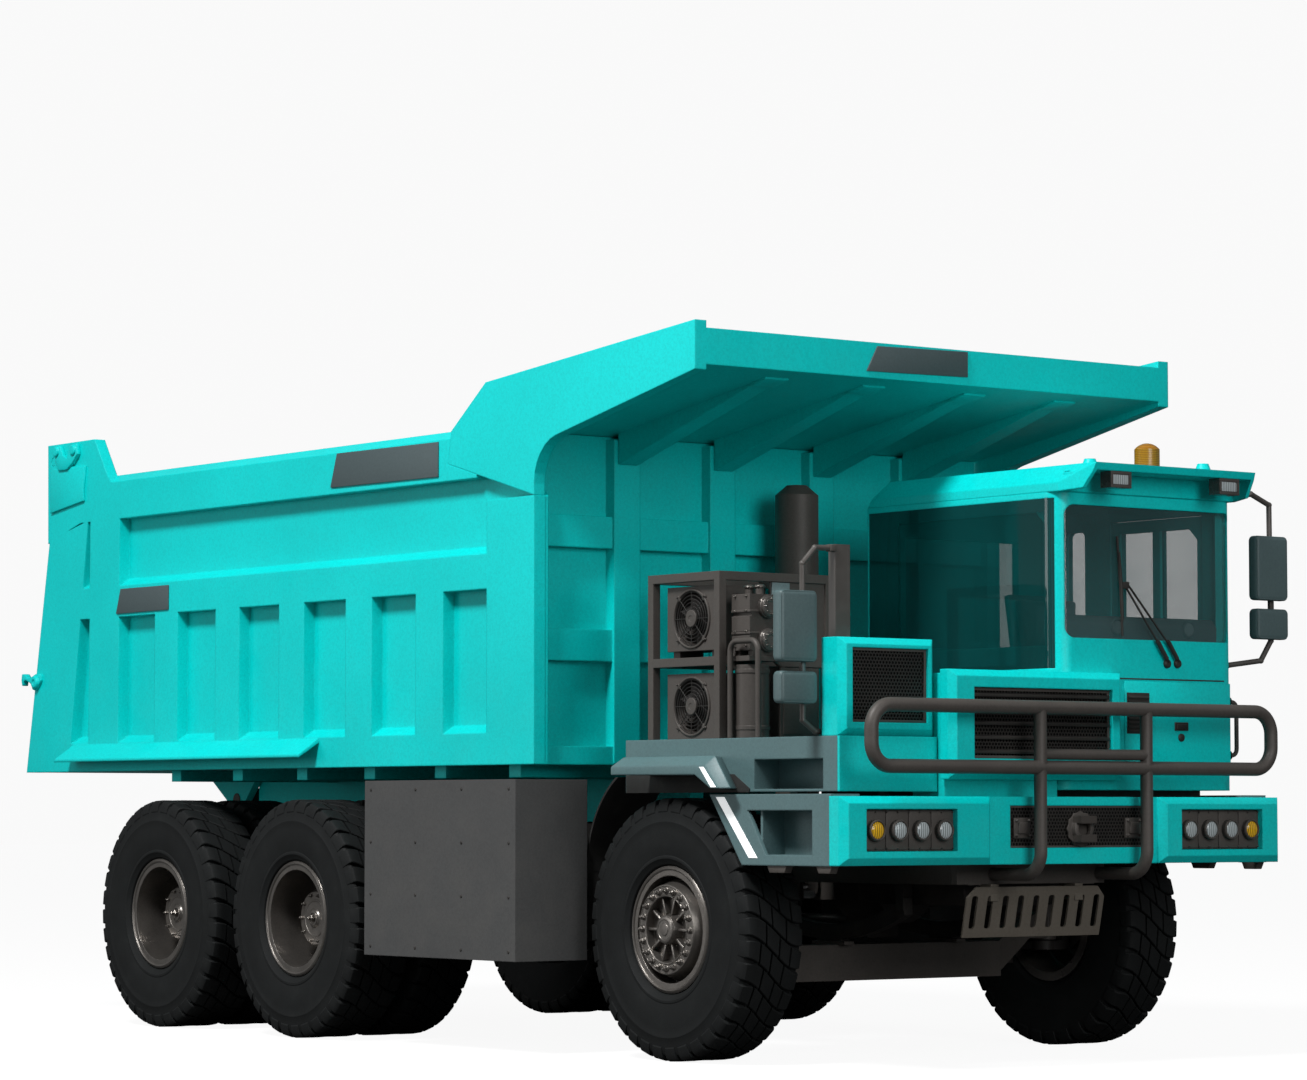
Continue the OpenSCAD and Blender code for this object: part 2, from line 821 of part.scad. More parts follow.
// A two-cylinder air compressor on the rack's shelf, with its oil drum and cabinet on the deck
module pump_set() {
    low = rack_mid + post;
    mid_y = -1300;
    color(dark_grey) from_axle() {
        for (x = [300, 410]) box([x, mid_y - 80, low], [x + 40, mid_y + 80, low + 31]);
        difference() {
            box([285, mid_y - 100, low + 30], [450, mid_y + 100, low + 350]);
            for (z = [115, 225]) for (side = [-1, 1])
                box([284, mid_y + side * 100 - 12, low + z], [451, mid_y + side * 100 + 12, low + z + 22]);
        }
        for (z = [low + 90, low + 280]) x_bar(mid_y + 20, z, 62, 449, 485);
        for (x = [320, 415]) translate([x, mid_y, low + 349]) cylinder(h = 40, r = 24);
        translate([380, -1326, deck_top]) cylinder(h = rack_mid + 20 - deck_top - 20, r = 95);
        box([300, -1180, deck_top], [450, -900, rack_mid - 13]);
    }
}

module rail_loop(x0, x1, y, z1) {
    r = 17;
    bend = 60;
    for (x = [x0, x1]) rod([x, y, deck_top], [x, y, z1 - bend], r);
    rod([x0 + bend, y, z1], [x1 - bend, y, z1], r);
    translate([x0 + bend, y, z1 - bend]) rotate([90, 0, 0]) rotate([0, 0, 90])
        rotate_extrude(angle = 90) translate([bend, 0]) circle(r);
    translate([x1 - bend, y, z1 - bend]) rotate([90, 0, 0])
        rotate_extrude(angle = 90) translate([bend, 0]) circle(r);
}

module hand_rails() {
    color(dark_grey) from_axle() rail_loop(335, 588, deck_y + 40, 2372);
}

corner_r = 110;
mirror_x = 1130;
mirror_post = [-1360, -1255];
mirror_post_top = 2884;
mirror_half = 125;
cab_mirror_x = cab_front - corner_r - 20;
arm_r = 16;

// A mirror's housing across the truck, round at its corners
module mirror_head(x, y, low, high) {
    plate_yz(x - 10, x + 60) round_rect([y - mirror_half, low], [y + mirror_half, high], 28);
}

module mirrors() {
    tube_x = mirror_x + 10;
    head_x = cab_mirror_x + 60;
    color(dark_grey) from_axle() {
        box([mirror_x - 30, mirror_post[0], deck_top], [mirror_x + 30, mirror_post[1], mirror_post_top]);
        bent_tube([[tube_x, mirror_post[0] + 5, 2864], [tube_x, -1490, 2860], [tube_x, -1579, 2770],
            [tube_x, -1579, 1910], [tube_x, -1490, 1850], [tube_x, mirror_post[0] + 5, 1846]], arm_r);
        mirror_head(tube_x, -1650, 2004, 2173);
        mirror_head(tube_x, -1650, 2232, 2615);
        bent_tube([[cab_mirror_x, cab_left, cab_top + 25], [cab_mirror_x, cab_left + 60, cab_top + 25],
            [head_x, 1693, 3292], [head_x, 1843, 3233], [head_x, 1849, 2425], [head_x, 1763, 2305],
            [cab_mirror_x, cab_left + 60, 2275], [cab_mirror_x, cab_left, 2275]], arm_r);
        mirror_head(head_x, 1807, 2434, 2608);
        mirror_head(head_x, 1807, 2665, 3040);
    }
}

screen_low = 2400;
screen_high = 3160;
door_x0 = 400;
door_x1 = 1180;
door_z0 = 1740;
door_z1 = 3165;
door_gap = 6;
door_frame = [74, 42];
door_bar = [360, 424];
door_window_low = 2280;
door_window_high = 3090;
quarter_x = [0, 173];
quarter_z = [2420, 3120];
screen_side = [60, 24];
screen_depth = 75;
screen_corner = 60;
panel_low = 2225;
panel_high = 3195;
panel_ends = [15, 50];
window_in = 95;
hinge_x = door_x1 - 2;
hinge_y = cab_left + 16;
hinge_r = 12;
hinge_pin_r = 6;
hinge_z = [1900, 2960];
knuckle_h = 40;
knuckle_gap = 2;
leaf_w = 45;
leaf_t = 10;

module cab_plan(inset) {
    r = corner_r - inset / 2;
    x0 = cab_back + inset;
    x1 = cab_front - inset;
    y0 = cab_right + inset;
    y1 = cab_left - inset;
    translate([x0, y0]) square([x1 - x0 - r, y1 - y0]);
    translate([x0, y0 + r]) square([x1 - x0, y1 - y0 - 2 * r]);
    for (y = [y0 + r, y1 - r]) translate([x1 - r, y]) circle(r);
}

module screen_hole(grow) {
    plate_yz(cab_front - screen_depth - grow, cab_front + grow)
        round_rect([cab_right + screen_side[0], screen_low],
            [cab_left - screen_side[1], screen_high], screen_corner);
}

// Opening of the right side's window, behind the flush dark pane
module side_hole() {
    plate_xz(cab_right - 1, cab_right + window_in)
        polygon([[0, panel_low + 132], [cab_front - 120, panel_low + 132],
            [cab_front - 120, panel_high - 148],
            [cab_front - 200, panel_high - 74], [0, panel_high - 74]]);
}

// A skin of the cab's outline between two depths
module cab_skin(outer, inner) {
    difference() {
        linear_extrude(cab_h) cab_plan(outer);
        translate([0, 0, -1]) linear_extrude(cab_h + 2) cab_plan(inner);
    }
}

// The flush pane over the upper half of the cab's right side
module side_pane() {
    intersection() {
        translate([0, 0, cab_z]) cab_skin(0, glass_t);
        box([cab_back + panel_ends[0], cab_right - 1, panel_low],
            [cab_front - panel_ends[1], cab_right + cab_wall, panel_high]);
    }
}

module quarter_hole(y0, y1) {
    plate_xz(y0, y1) round_rect([quarter_x[0], quarter_z[0]], [quarter_x[1], quarter_z[1]], 40);
}

module rear_hole(grow) {
    box([cab_back - grow, cab_right + 250, screen_low],
        [cab_back + cab_wall + grow, cab_left - 250, screen_high - 100]);
}

// One barrel of the door's hinge with its leaf on the cab's side
module hinge_barrel(z, side) {
    translate([hinge_x, hinge_y, z]) cylinder(h = knuckle_h, r = hinge_r);
    translate([hinge_x + (side - 1) * leaf_w / 2, cab_left - 1, z]) cube([leaf_w, leaf_t + 1, knuckle_h]);
}

module cab_shell() {
    color(teal) from_axle() for (z = hinge_z) {
        for (up = [0, 2]) hinge_barrel(z + up * (knuckle_h + knuckle_gap), 1);
        translate([hinge_x, hinge_y, z]) cylinder(h = 3 * knuckle_h + 2 * knuckle_gap, r = hinge_pin_r);
    }
    color(teal) from_axle() difference() {
        translate([0, 0, cab_z]) linear_extrude(cab_h) cab_plan(0);
        translate([0, 0, cab_z + cab_wall]) linear_extrude(cab_h) cab_plan(cab_wall);
        screen_hole(1);
        side_hole();
        side_pane();
        rear_hole(1);
        quarter_hole(cab_left - cab_wall - 1, cab_left + 1);
        box([door_x0, cab_left - cab_wall - 1, door_z0], [door_x1, cab_left + 1, door_z1]);
    }
}

// Side profile of the roof, pulled in by a wall
module roof_profile(wall) {
    roof_top = cab_top + roof_t - wall;
    polygon([[cab_back + wall, cab_top], [cab_back + 130 + wall / 2, roof_top], [visor_front, roof_top],
        [visor_front - 20, roof_top - 45], [visor_front - 90, cab_top + 12], [cab_front, cab_top]]);
}

// Cross section of the roof, pulled in by a wall
module roof_section(wall) {
    roof_top = cab_top + roof_t - wall;
    polygon([[cab_right + wall, cab_top - 1], [cab_right + wall, cab_top + 50],
        [cab_right + 70 + wall / 2, roof_top],
        [cab_left - 70 - wall / 2, roof_top], [cab_left - wall, cab_top + 50],
            [cab_left - wall, cab_top - 1]]);
}

// Plan of the roof's front, narrowed towards the visor's lip
module visor_plan(x, inset) {
    polygon([[x, cab_right + inset], [cab_front, cab_right + inset],
        [visor_front + 1, cab_right + 70 + inset],
        [visor_front + 1, cab_left - 80 - inset], [cab_front, cab_left - inset], [x, cab_left - inset]]);
}

module cab_roof() {
    roof_top = cab_top + roof_t;
    bumps = [[1412, 320], [1553, 1080]];
    color(teal) from_axle() {
        difference() {
            intersection() {
                plate_xz(cab_right, cab_left) roof_profile(0);
                plate_yz(cab_back, visor_front) roof_section(0);
                translate([0, 0, cab_top]) linear_extrude(roof_t) visor_plan(cab_back, 0);
            }
            intersection() {
                plate_xz(cab_right, cab_left) polygon([[cab_back + 60, cab_top - 1],
                    [cab_back + 175, roof_top - 40],
                    [cab_front - 40, roof_top - 40], [cab_front - 40, cab_top - 1]]);
                plate_yz(cab_back, visor_front) roof_section(cab_wall);
            }
            translate([0, 0, cab_top - 1]) linear_extrude(visor_z - cab_top + 1) difference() {
                visor_plan(cab_back, 26);
                translate([cab_back - 1, cab_right]) square([cab_front + 15 - cab_back + 1, cab_w]);
            }
        }
        for (spot = bumps) translate([spot[0], spot[1], roof_top - 1]) cylinder(h = 42, r1 = 48, r2 = 32);
    }
}

glass_t = 12;

module cab_glass() {
    color(glass) from_axle() {
        intersection() {
            screen_hole(0);
            translate([0, 0, cab_z]) cab_skin(10, 10 + glass_t);
        }
        side_pane();
        intersection() {
            rear_hole(0);
            box([cab_back + 10, cab_right, cab_z], [cab_back + 10 + glass_t, cab_left, cab_top]);
        }
        quarter_hole(cab_left - 20 - glass_t, cab_left - 20);
    }
}

seat_y = 1000;

// Seat on its base, the dash and the steering wheel
module cab_interior() {
    floor_z = cab_z + cab_wall;
    wheel = [cab_front - 455, seat_y, floor_z + 765];
    color(seat_cloth) from_axle() {
        box([400, seat_y - 200, floor_z], [740, seat_y + 200, floor_z + 330]);
        plate_xz(seat_y - 260, seat_y + 260)
            polygon([[330, floor_z + 329], [830, floor_z + 329], [860, floor_z + 380], [850, floor_z + 450],
                [780, floor_z + 465], [370, floor_z + 430], [250, floor_z + 1130], [190, floor_z + 1150],
                [150, floor_z + 1120], [270, floor_z + 420]]);
        plate_xz(cab_right + cab_wall + 20, cab_left - cab_wall - 20)
            polygon([[cab_front - 330, floor_z], [cab_front - 140, floor_z],
                [cab_front - 140, screen_low - 110],
                [cab_front - 200, screen_low - 80], [cab_front - 330, screen_low - 190]]);
        rod([cab_front - 320, seat_y, floor_z + 560], [wheel[0] + 5, seat_y, wheel[2] - 5], 30);
        translate(wheel) rotate([0, -28, 0]) {
            rotate_extrude() translate([220, 0]) circle(16);
            translate([0, 0, -16]) cylinder(h = 30, r = 60);
            for (turn = [0, 120, 240]) rotate([0, 0, turn]) box([40, -15, -10], [215, 15, 8]);
        }
    }
}

module door_panel() {
    x0 = door_x0 + door_frame[0];
    x1 = door_x1 - door_frame[1];
    color(teal) from_axle() difference() {
        union() {
            box([door_x0 + door_gap, cab_left - cab_wall + 6, door_z0 + door_gap],
                [door_x1 - door_gap, cab_left, door_z1 - door_gap]);
            for (z = hinge_z) hinge_barrel(z + knuckle_h + knuckle_gap, -1);
        }
        plate_xz(cab_left - cab_wall, cab_left + 1) difference() {
            door_window();
            translate([door_x0 + door_bar[0], door_window_low]) square([door_bar[1] - door_bar[0], 2000]);
        }
        for (z = hinge_z) translate([hinge_x, hinge_y, z]) cylinder(h = 3 * knuckle_h,
            r = hinge_pin_r + pin_gap);
        door_pane();
    }
}

// Outline of the door's window in X and Z, cut off at its front corner
module door_window() {
    x0 = door_x0 + door_frame[0];
    x1 = door_x1 - door_frame[1];
    polygon([[x0, door_window_low], [x1, door_window_low], [x1, door_window_high - 70],
        [x1 - 70, door_window_high],
        [x0, door_window_high]]);
}

// The pane crosses behind the window's bar
module door_pane() {
    plate_xz(cab_left - 36, cab_left - 36 + glass_t) door_window();
}

module door_glass() {
    color(glass) from_axle() door_pane();
}

floor_t = 30;
tail_gap = 12;
gate_t = 70;

// X of the tail's sloping line at a height above the ground
function tail_at(z) = bed_tail_x + (z - bed_z) * tail_slope;

module body_lug() {
    plate_xz(rail_out + 4, rail_out + 60) difference() {
        union() {
            polygon([[pivot_x + 300, bed_z + 1], [pivot_x - 420, bed_z + 1],
                [pivot_x - 85, pivot_z - 40], [pivot_x + 85, pivot_z - 40]]);
            translate([pivot_x, pivot_z]) circle(100);
        }
        translate([pivot_x, pivot_z]) circle(pivot_r + pin_gap);
    }
}

sill_front = front_wall_x - 100;
sill_back = pivot_x + 200;
pad_gap = 10;
cross_h = 75;

module bed_floor() {
    color(teal) from_axle() {
        plate_xz(-sheet_in, sheet_in)
            polygon([[front_wall_x, bed_z], [tail_at(bed_z) + gate_t + tail_gap, bed_z],
                [tail_at(bed_z + floor_t) + gate_t + tail_gap, bed_z + floor_t],
                    [front_wall_x, bed_z + floor_t]]);
        both_sides() {
            box([sill_back, rail_in, rail_top + pad_gap], [sill_front, rail_out, bed_z + 1]);
            body_lug();
            for (i = [0:5]) box([sill_front - 150 - i * rib_pitch, rail_out - 1, bed_z - cross_h],
                [sill_front - 30 - i * rib_pitch, sheet_in, bed_z + 1]);
        }
    }
}

// A horizontal rail on the side sheet with a sloping crest
module side_rail(z, h, x0, x1) {
    plate_yz(x0, x1) polygon([[sheet_out - 1, z], [bed_half, z], [bed_half, z + h],
        [sheet_out - 1, z + h + bevel]]);
}

rear_post_x = bed_tail_x + 877;
rear_post_w = 405;
front_post_w = 490;
rib_first = bed_front_x - 951;
ear_high = 3980;
gate_pin_x = bed_tail_x + 345;
gate_pin_z = 3860;
gate_pin_r = 30;

module bed_side() {
    difference() {
        union() {
            plate_xz(sheet_in, sheet_out)
                polygon([[bed_front_x - 2, bed_z], [tail_at(bed_z), bed_z],
                    [tail_at(top_rail_z), top_rail_z],
                    [tail_at(top_rail_z), bed_top], [bed_front_x - 490, bed_top],
                        [bed_front_x - 2, top_rail_z - 140]]);
            side_rail(bed_z, bottom_rail_h, tail_at(bed_z) + 300, bed_front_x - 200);
            side_rail(mid_rail_z, mid_rail_h, tail_at(mid_rail_z) + 300, bed_front_x - 200);
            side_rail(top_rail_z, top_rail_h + 30, tail_at(top_rail_z) + 300, bed_front_x - 600);
            for (i = [0:4]) box([rib_first - i * rib_pitch - rib_w, sheet_out - 1, bed_z + 1],
                [rib_first - i * rib_pitch, bed_half, mid_rail_z + 1]);
            box([rear_post_x, sheet_out - 1, bed_z], [rear_post_x + rear_post_w, bed_half, top_rail_z + 1]);
            box([bed_front_x - front_post_w, sheet_out - 1, bed_z],
                [bed_front_x, bed_half, top_rail_z - 140]);
            plate_xz(sheet_out - 1, bed_half)
                polygon([[tail_at(bed_z), bed_z], [tail_at(bed_z) + 600, bed_z],
                    [tail_at(top_rail_z) + 540, top_rail_z + 10],
                    [tail_at(top_rail_z), top_rail_z - 100]]);
            plate_xz(sheet_out - 1, bed_half)
                polygon([[bed_tail_x + 280, top_rail_z - 120], [bed_tail_x + 1200, top_rail_z + 120],
                    [bed_tail_x + 1200, bed_top - 80],
                    [bed_tail_x + 1105, bed_top], [bed_tail_x + 926, ear_high],
                        [bed_tail_x + 266, ear_high]]);
            plate_yz(rear_post_x - 210, mid_x) polygon([[bed_half - 5, bed_z + bottom_rail_h - 30],
                [bed_half - 5, bed_z + bottom_rail_h],
                [bed_half + 150, bed_z + 82], [bed_half + 150, bed_z + 64]]);
        }
        y_bar(gate_pin_x, gate_pin_z, gate_pin_r + pin_gap, sheet_in - 1, bed_half + 1);
        canopy_side();
    }
}

module bed_side_left() {
    color(teal) from_axle() bed_side();
}

module bed_side_right() {
    color(teal) from_axle() mirror([0, 1, 0]) bed_side();
}

wall_high = 3655;
channel_w = 194;
channel_y = [390, 1115];
channel_depth = 110;

module bed_front() {
    color(teal) from_axle() {
        box([front_wall_x, -sheet_in, bed_z], [front_wall_x + bed_sheet, sheet_in, wall_high]);
        both_sides() {
            for (y = channel_y) box([front_wall_x + 1, y - channel_w / 2, bed_z + 8],
                [front_wall_x + channel_depth, y + channel_w / 2, wall_high - 20]);
            box([front_wall_x + 1, 176, trunnion_z - 90], [hoist_x + 70, 206, trunnion_z + 90]);
        }
        for (z = [2305, 2980]) box([front_wall_x + 1, -sheet_in, z],
            [front_wall_x + channel_depth - 20, sheet_in, z + 190]);
        box([front_wall_x + 1, -sheet_in, bed_z],
            [front_wall_x + channel_depth - 10, sheet_in, bed_z + 110]);
    }
}

canopy_t = 25;
canopy_rib_w = 140;

// Height of the canopy plate's underside at a distance in front of the front axle
function canopy_at(x) = wall_high + (x - front_wall_x) * (lip_z - wall_high) / (canopy_x - front_wall_x);

// The fillet between the front posts and the canopy's side plates
fillet_r = 274;
fillet_steps = 6;
canopy_corner = [bed_front_x - 3, top_rail_z + 153];
canopy_rise = atan2(lip_z - 30 - canopy_corner[1], canopy_x - canopy_corner[0]);
fillet_mid = canopy_corner + [fillet_r, -fillet_r / tan(45 + canopy_rise / 2)];

function fillet_point(i) = fillet_mid + fillet_r * [
    cos(180 - i * (90 - canopy_rise) / fillet_steps), sin(180 - i * (90 - canopy_rise) / fillet_steps)];

module canopy_side() {
    arc = [for (i = [0:fillet_steps]) fillet_point(i)];
    plate_xz(sheet_out, bed_half)
        polygon(concat([[bed_front_x - 904, top_rail_z + 103], [bed_front_x - 3, top_rail_z - 139]], arc,
            [[canopy_x, lip_z - 30], [canopy_x, lip_z + lip_h + 41], [bed_front_x - 506, bed_top + 258],
            [bed_front_x - 871, bed_top - 10]]));
}

module canopy() {
    color(teal) from_axle() {
        plate_xz(-sheet_out, sheet_out)
            polygon([[front_wall_x, canopy_at(front_wall_x)], [canopy_x, canopy_at(canopy_x)],
                [canopy_x, canopy_at(canopy_x) + canopy_t],
                [front_wall_x, canopy_at(front_wall_x) + canopy_t]]);
        box([canopy_x - 30, -sheet_out, lip_z], [canopy_x, sheet_out, lip_z + lip_h]);
        both_sides() {
            canopy_side();
            for (y = channel_y) plate_xz(y - canopy_rib_w / 2, y + canopy_rib_w / 2)
                polygon([[front_wall_x + channel_depth + 5, canopy_at(front_wall_x + channel_depth + 5) + 2],
                    [canopy_x - 200, canopy_at(canopy_x - 200) + 2],
                        [front_wall_x + channel_depth + 5, wall_high - 170]]);
        }
    }
}

module tailgate() {
    low = bed_z + 8;
    high = 3600;
    in = sheet_in - 12;
    color(teal) from_axle() {
        plate_xz(-in, in) polygon([[tail_at(low), low], [tail_at(low) + gate_t, low],
            [tail_at(high) + gate_t, high], [tail_at(high), high]]);
        both_sides() {
            plate_xz(in - 70, in) difference() {
                union() {
                    polygon([[tail_at(high) + 5, high - 100], [tail_at(high) + gate_t - 5, high - 100],
                        [gate_pin_x + 45, gate_pin_z],
                        [gate_pin_x - 45, gate_pin_z]]);
                    translate([gate_pin_x, gate_pin_z]) circle(60);
                }
            }
            y_bar(gate_pin_x, gate_pin_z, gate_pin_r, in - 1, bed_half - 2);
            plate_xz(in - 90, in) polygon([[tail_at(low + 300) + 1, low + 300],
                [bed_tail_x - hook_reach + 1, low + 120], [bed_tail_x - hook_reach, low + 60],
                [tail_at(low) - 30, low + 40], [tail_at(low + 60) + 1, low + 100]]);
        }
        for (z = [low + 500, low + 1150]) plate_xz(-in + 100, in - 100)
            polygon([[tail_at(z) - 55, z], [tail_at(z) + 1, z], [tail_at(z + 180) + 1, z + 180],
                [tail_at(z + 180) - 55, z + 180]]);
    }
}

stage_wall = 12;
stage_gap = 2;
cover_r = hoist_d / 2;
upper_r = cover_r - stage_wall - stage_gap;
lower_r = upper_r - stage_wall - stage_gap;
base_r = lower_r - stage_wall - stage_gap;
cover_low = trunnion_z - 250;

module stage_tube(r, z0, z1) {
    translate([hoist_x, 0, z0]) difference() {
        cylinder(h = z1 - z0, r = r);
        translate([0, 0, -1]) cylinder(h = z1 - z0 + 2, r = r - stage_wall);
    }
}

module hoist_cover() {
    color(dark_grey) from_axle() {
        stage_tube(cover_r, cover_low, hoist_top - 60);
        translate([hoist_x, 0, hoist_top - 61]) cylinder(h = 61, r1 = cover_r, r2 = cover_r - 70);
        both_sides() y_bar(hoist_x, trunnion_z, 60, cover_r - 6, 170);
    }
}

module hoist_stage_upper() {
    color(steel) from_axle() stage_tube(upper_r, cover_low - 20, hoist_top - 80);
}

module hoist_stage_lower() {
    color(steel) from_axle() stage_tube(lower_r, cover_low - 40, hoist_top - 80);
}

module hoist_base() {
    color(steel) from_axle() difference() {
        union() {
            stage_tube(base_r, hoist_pin_z + 60, hoist_top - 80);
            translate([hoist_x, 0, hoist_pin_z + 40]) cylinder(h = 60, r = base_r - 1);
            y_bar(hoist_x, hoist_pin_z, 75, -100, 100);
        }
        y_bar(hoist_x, hoist_pin_z, hoist_pin_r + pin_gap, -101, 101);
    }
}

arm_gap = 8;
arm_t = 55;
web_y = fist_r + 20;

// Right-hand steering knuckle: two yoke arms, a web, the spindle and the track rod's arm
module knuckle() {
    low = fist_low - arm_gap - arm_t;
    high = fist_high + arm_gap;
    translate([0, -kingpin_y, low]) cylinder(h = high + arm_t - low, r = kingpin_r);
    for (z = [low, high]) {
        translate([0, -kingpin_y, z]) cylinder(h = arm_t, r = 70);
        box([-65, -kingpin_y - web_y - 40, z], [65, -kingpin_y, z + arm_t]);
    }
    box([-65, -kingpin_y - web_y - 50, low], [65, -kingpin_y - web_y, high + arm_t]);
    y_bar(0, axle_z, spindle_r, -front_y - 100, -kingpin_y - web_y - 49);
    box([-steer_arm - 40, -kingpin_y + 10, low], [-20, -kingpin_y + 60, low + arm_t - 5]);
    translate([-steer_arm, -kingpin_y + 60, low]) cylinder(h = arm_t - 5, r = 45);
}

module knuckle_right() {
    color(cast) from_axle() knuckle();
}

module knuckle_left() {
    color(cast) from_axle() mirror([0, 1, 0]) knuckle();
}

module tie_rod() {
    z = fist_low - arm_gap - arm_t - move_gap - 45;
    ball_y = kingpin_y - 60;
    color(cast) from_axle() {
        y_bar(-steer_arm, z, 30, -ball_y, ball_y);
        both_sides() translate([-steer_arm, ball_y, z - 35]) cylinder(h = 80, r = 44);
    }
}

tread_half = tyre_w / 2 - 28;
bead_half = rim_w / 2;
lug_count = 30;
lug_gap = 26;
lug_depth = 26;
lug_skew = 25;
lug_reach = 120;

module tyre() {
    half = tyre_w / 2;
    difference() {
        rotate_extrude($fn = 96) polygon([
            [rim_seat_r, -bead_half], [rim_flange_r + 3, -bead_half], [rim_flange_r + 35, -half + 14],
            [rim_flange_r + 150, -half], [axle_z - 60, -half + 10], [axle_z - 14, -tread_half - 6],
            [axle_z, -tread_half + 14], [axle_z, tread_half - 14], [axle_z - 14, tread_half + 6],
            [axle_z - 60, half - 10], [rim_flange_r + 150, half], [rim_flange_r + 35, half - 14],
            [rim_flange_r + 3, bead_half], [rim_seat_r, bead_half]]);
        for (side = [0, 1]) rotate([180 * side, 0, 180 / lug_count * side]) for (i = [0:lug_count - 1])
            rotate([0, 0, 360 / lug_count * i]) lug_groove();
    }
}

// One slanting groove across the tread's shoulder
module lug_groove() {
    translate([axle_z - lug_depth, 0, tyre_w / 2 - lug_reach]) rotate([lug_skew, 0, 0])
        box([0, -lug_gap / 2, 0], [2 * lug_depth, lug_gap / 2, 2 * lug_reach]);
}

// Rim well with its two flanges, open through the middle
module rim_ring() {
    half = rim_w / 2;
    rotate_extrude($fn = 96) polygon([
        [rim_seat_r - rim_wall, -half - rim_flange_t], [rim_flange_r, -half - rim_flange_t],
            [rim_flange_r, -half], [rim_seat_r, -half],
        [rim_seat_r, half], [rim_flange_r, half], [rim_flange_r, half + rim_flange_t],
            [rim_seat_r - rim_wall, half + rim_flange_t]]);
}

hub_r = 165;

// The front wheel's disc is dished outwards to its ring of studs
module front_rim() {
    rim_ring();
    difference() {
        rotate_extrude($fn = 96) polygon([[0, -40], [hub_r, -40], [hub_r, 125], [236, 125], [290, 40],
            [rim_seat_r - rim_wall + 1, 40], [rim_seat_r - rim_wall + 1, 66], [250, 205], [190, 205],
                [182, 155],
            [94, 155], [80, 212], [0, 212]]);
        translate([0, 0, -41]) cylinder(h = 41 + 110, r = spindle_r + pin_gap);
    }
}

module twin_rims() {
    offset_y = dual_spacing / 2;
    disc_z = offset_y - rim_w / 2 - rim_flange_t;
    for (side = [-1, 1]) translate([0, 0, side * offset_y]) rim_ring();
    difference() {
        rotate_extrude($fn = 96) polygon([[0, -disc_z - 22], [rim_seat_r - rim_wall + 1, -disc_z - 22],
            [rim_seat_r - rim_wall + 1, -disc_z], [rim_seat_r - 40, -disc_z], [rim_seat_r - 40, disc_z],
            [rim_seat_r - rim_wall + 1, disc_z], [rim_seat_r - rim_wall + 1, disc_z + 22],
                [hub_r + 60, disc_z + 30],
            [hub_r + 15, disc_z + 60], [hub_r + 15, disc_z + 200], [hub_r, disc_z + 220],
                [60, disc_z + 220],
            [52, disc_z + 230], [0, disc_z + 230]]);
        translate([0, 0, -disc_z - 23]) cylinder(h = disc_z + 23 + 110, r = axle_end_r + pin_gap);
    }
}

module twin_tyres() {
    for (side = [-1, 1]) translate([0, 0, side * dual_spacing / 2]) tyre();
}

module tyre_front_right() {
    color(rubber) from_axle() on_right_axle(0, front_y) tyre();
}

module tyre_front_left() {
    color(rubber) from_axle() mirror([0, 1, 0]) on_right_axle(0, front_y) tyre();
}

module rim_front_right() {
    color(steel) from_axle() on_right_axle(0, front_y) front_rim();
}

module rim_front_left() {
    color(steel) from_axle() mirror([0, 1, 0]) on_right_axle(0, front_y) front_rim();
}

module tyres_mid_right() {
    color(rubber) from_axle() on_right_axle(mid_x, rear_y) twin_tyres();
}

module tyres_mid_left() {
    color(rubber) from_axle() mirror([0, 1, 0]) on_right_axle(mid_x, rear_y) twin_tyres();
}

module tyres_rear_right() {
    color(rubber) from_axle() on_right_axle(rear_x, rear_y) twin_tyres();
}

module tyres_rear_left() {
    color(rubber) from_axle() mirror([0, 1, 0]) on_right_axle(rear_x, rear_y) twin_tyres();
}

module rims_mid_right() {
    color(steel) from_axle() on_right_axle(mid_x, rear_y) twin_rims();
}

module rims_mid_left() {
    color(steel) from_axle() mirror([0, 1, 0]) on_right_axle(mid_x, rear_y) twin_rims();
}

module rims_rear_right() {
    color(steel) from_axle() on_right_axle(rear_x, rear_y) twin_rims();
}

module rims_rear_left() {
    color(steel) from_axle() mirror([0, 1, 0]) on_right_axle(rear_x, rear_y) twin_rims();
}

frame_rails();
front_axle();
rear_axles();
suspension();
engine();
front_bumper();
lamps();
bull_bar();
belly_guard();
front_cowls();
grille_screens();
deck();
fenders();
side_steps();
mud_guards();
side_boxes();
cooling_rack();
cooler_units();
fan_upper();
fan_lower();
pump_set();
hand_rails();
mirrors();
cab_shell();
cab_roof();
cab_glass();
cab_interior();
door_panel();
door_glass();
bed_floor();
bed_side_right();
bed_side_left();
bed_front();
canopy();
tailgate();
hoist_base();
hoist_stage_lower();
hoist_stage_upper();
hoist_cover();
knuckle_right();
knuckle_left();
tie_rod();
tyre_front_right();
tyre_front_left();
rim_front_right();
rim_front_left();
tyres_mid_right();
tyres_mid_left();
tyres_rear_right();
tyres_rear_left();
rims_mid_right();
rims_mid_left();
rims_rear_right();
rims_rear_left();
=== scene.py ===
import math

import bmesh
import bpy
from mathutils import Matrix, Vector


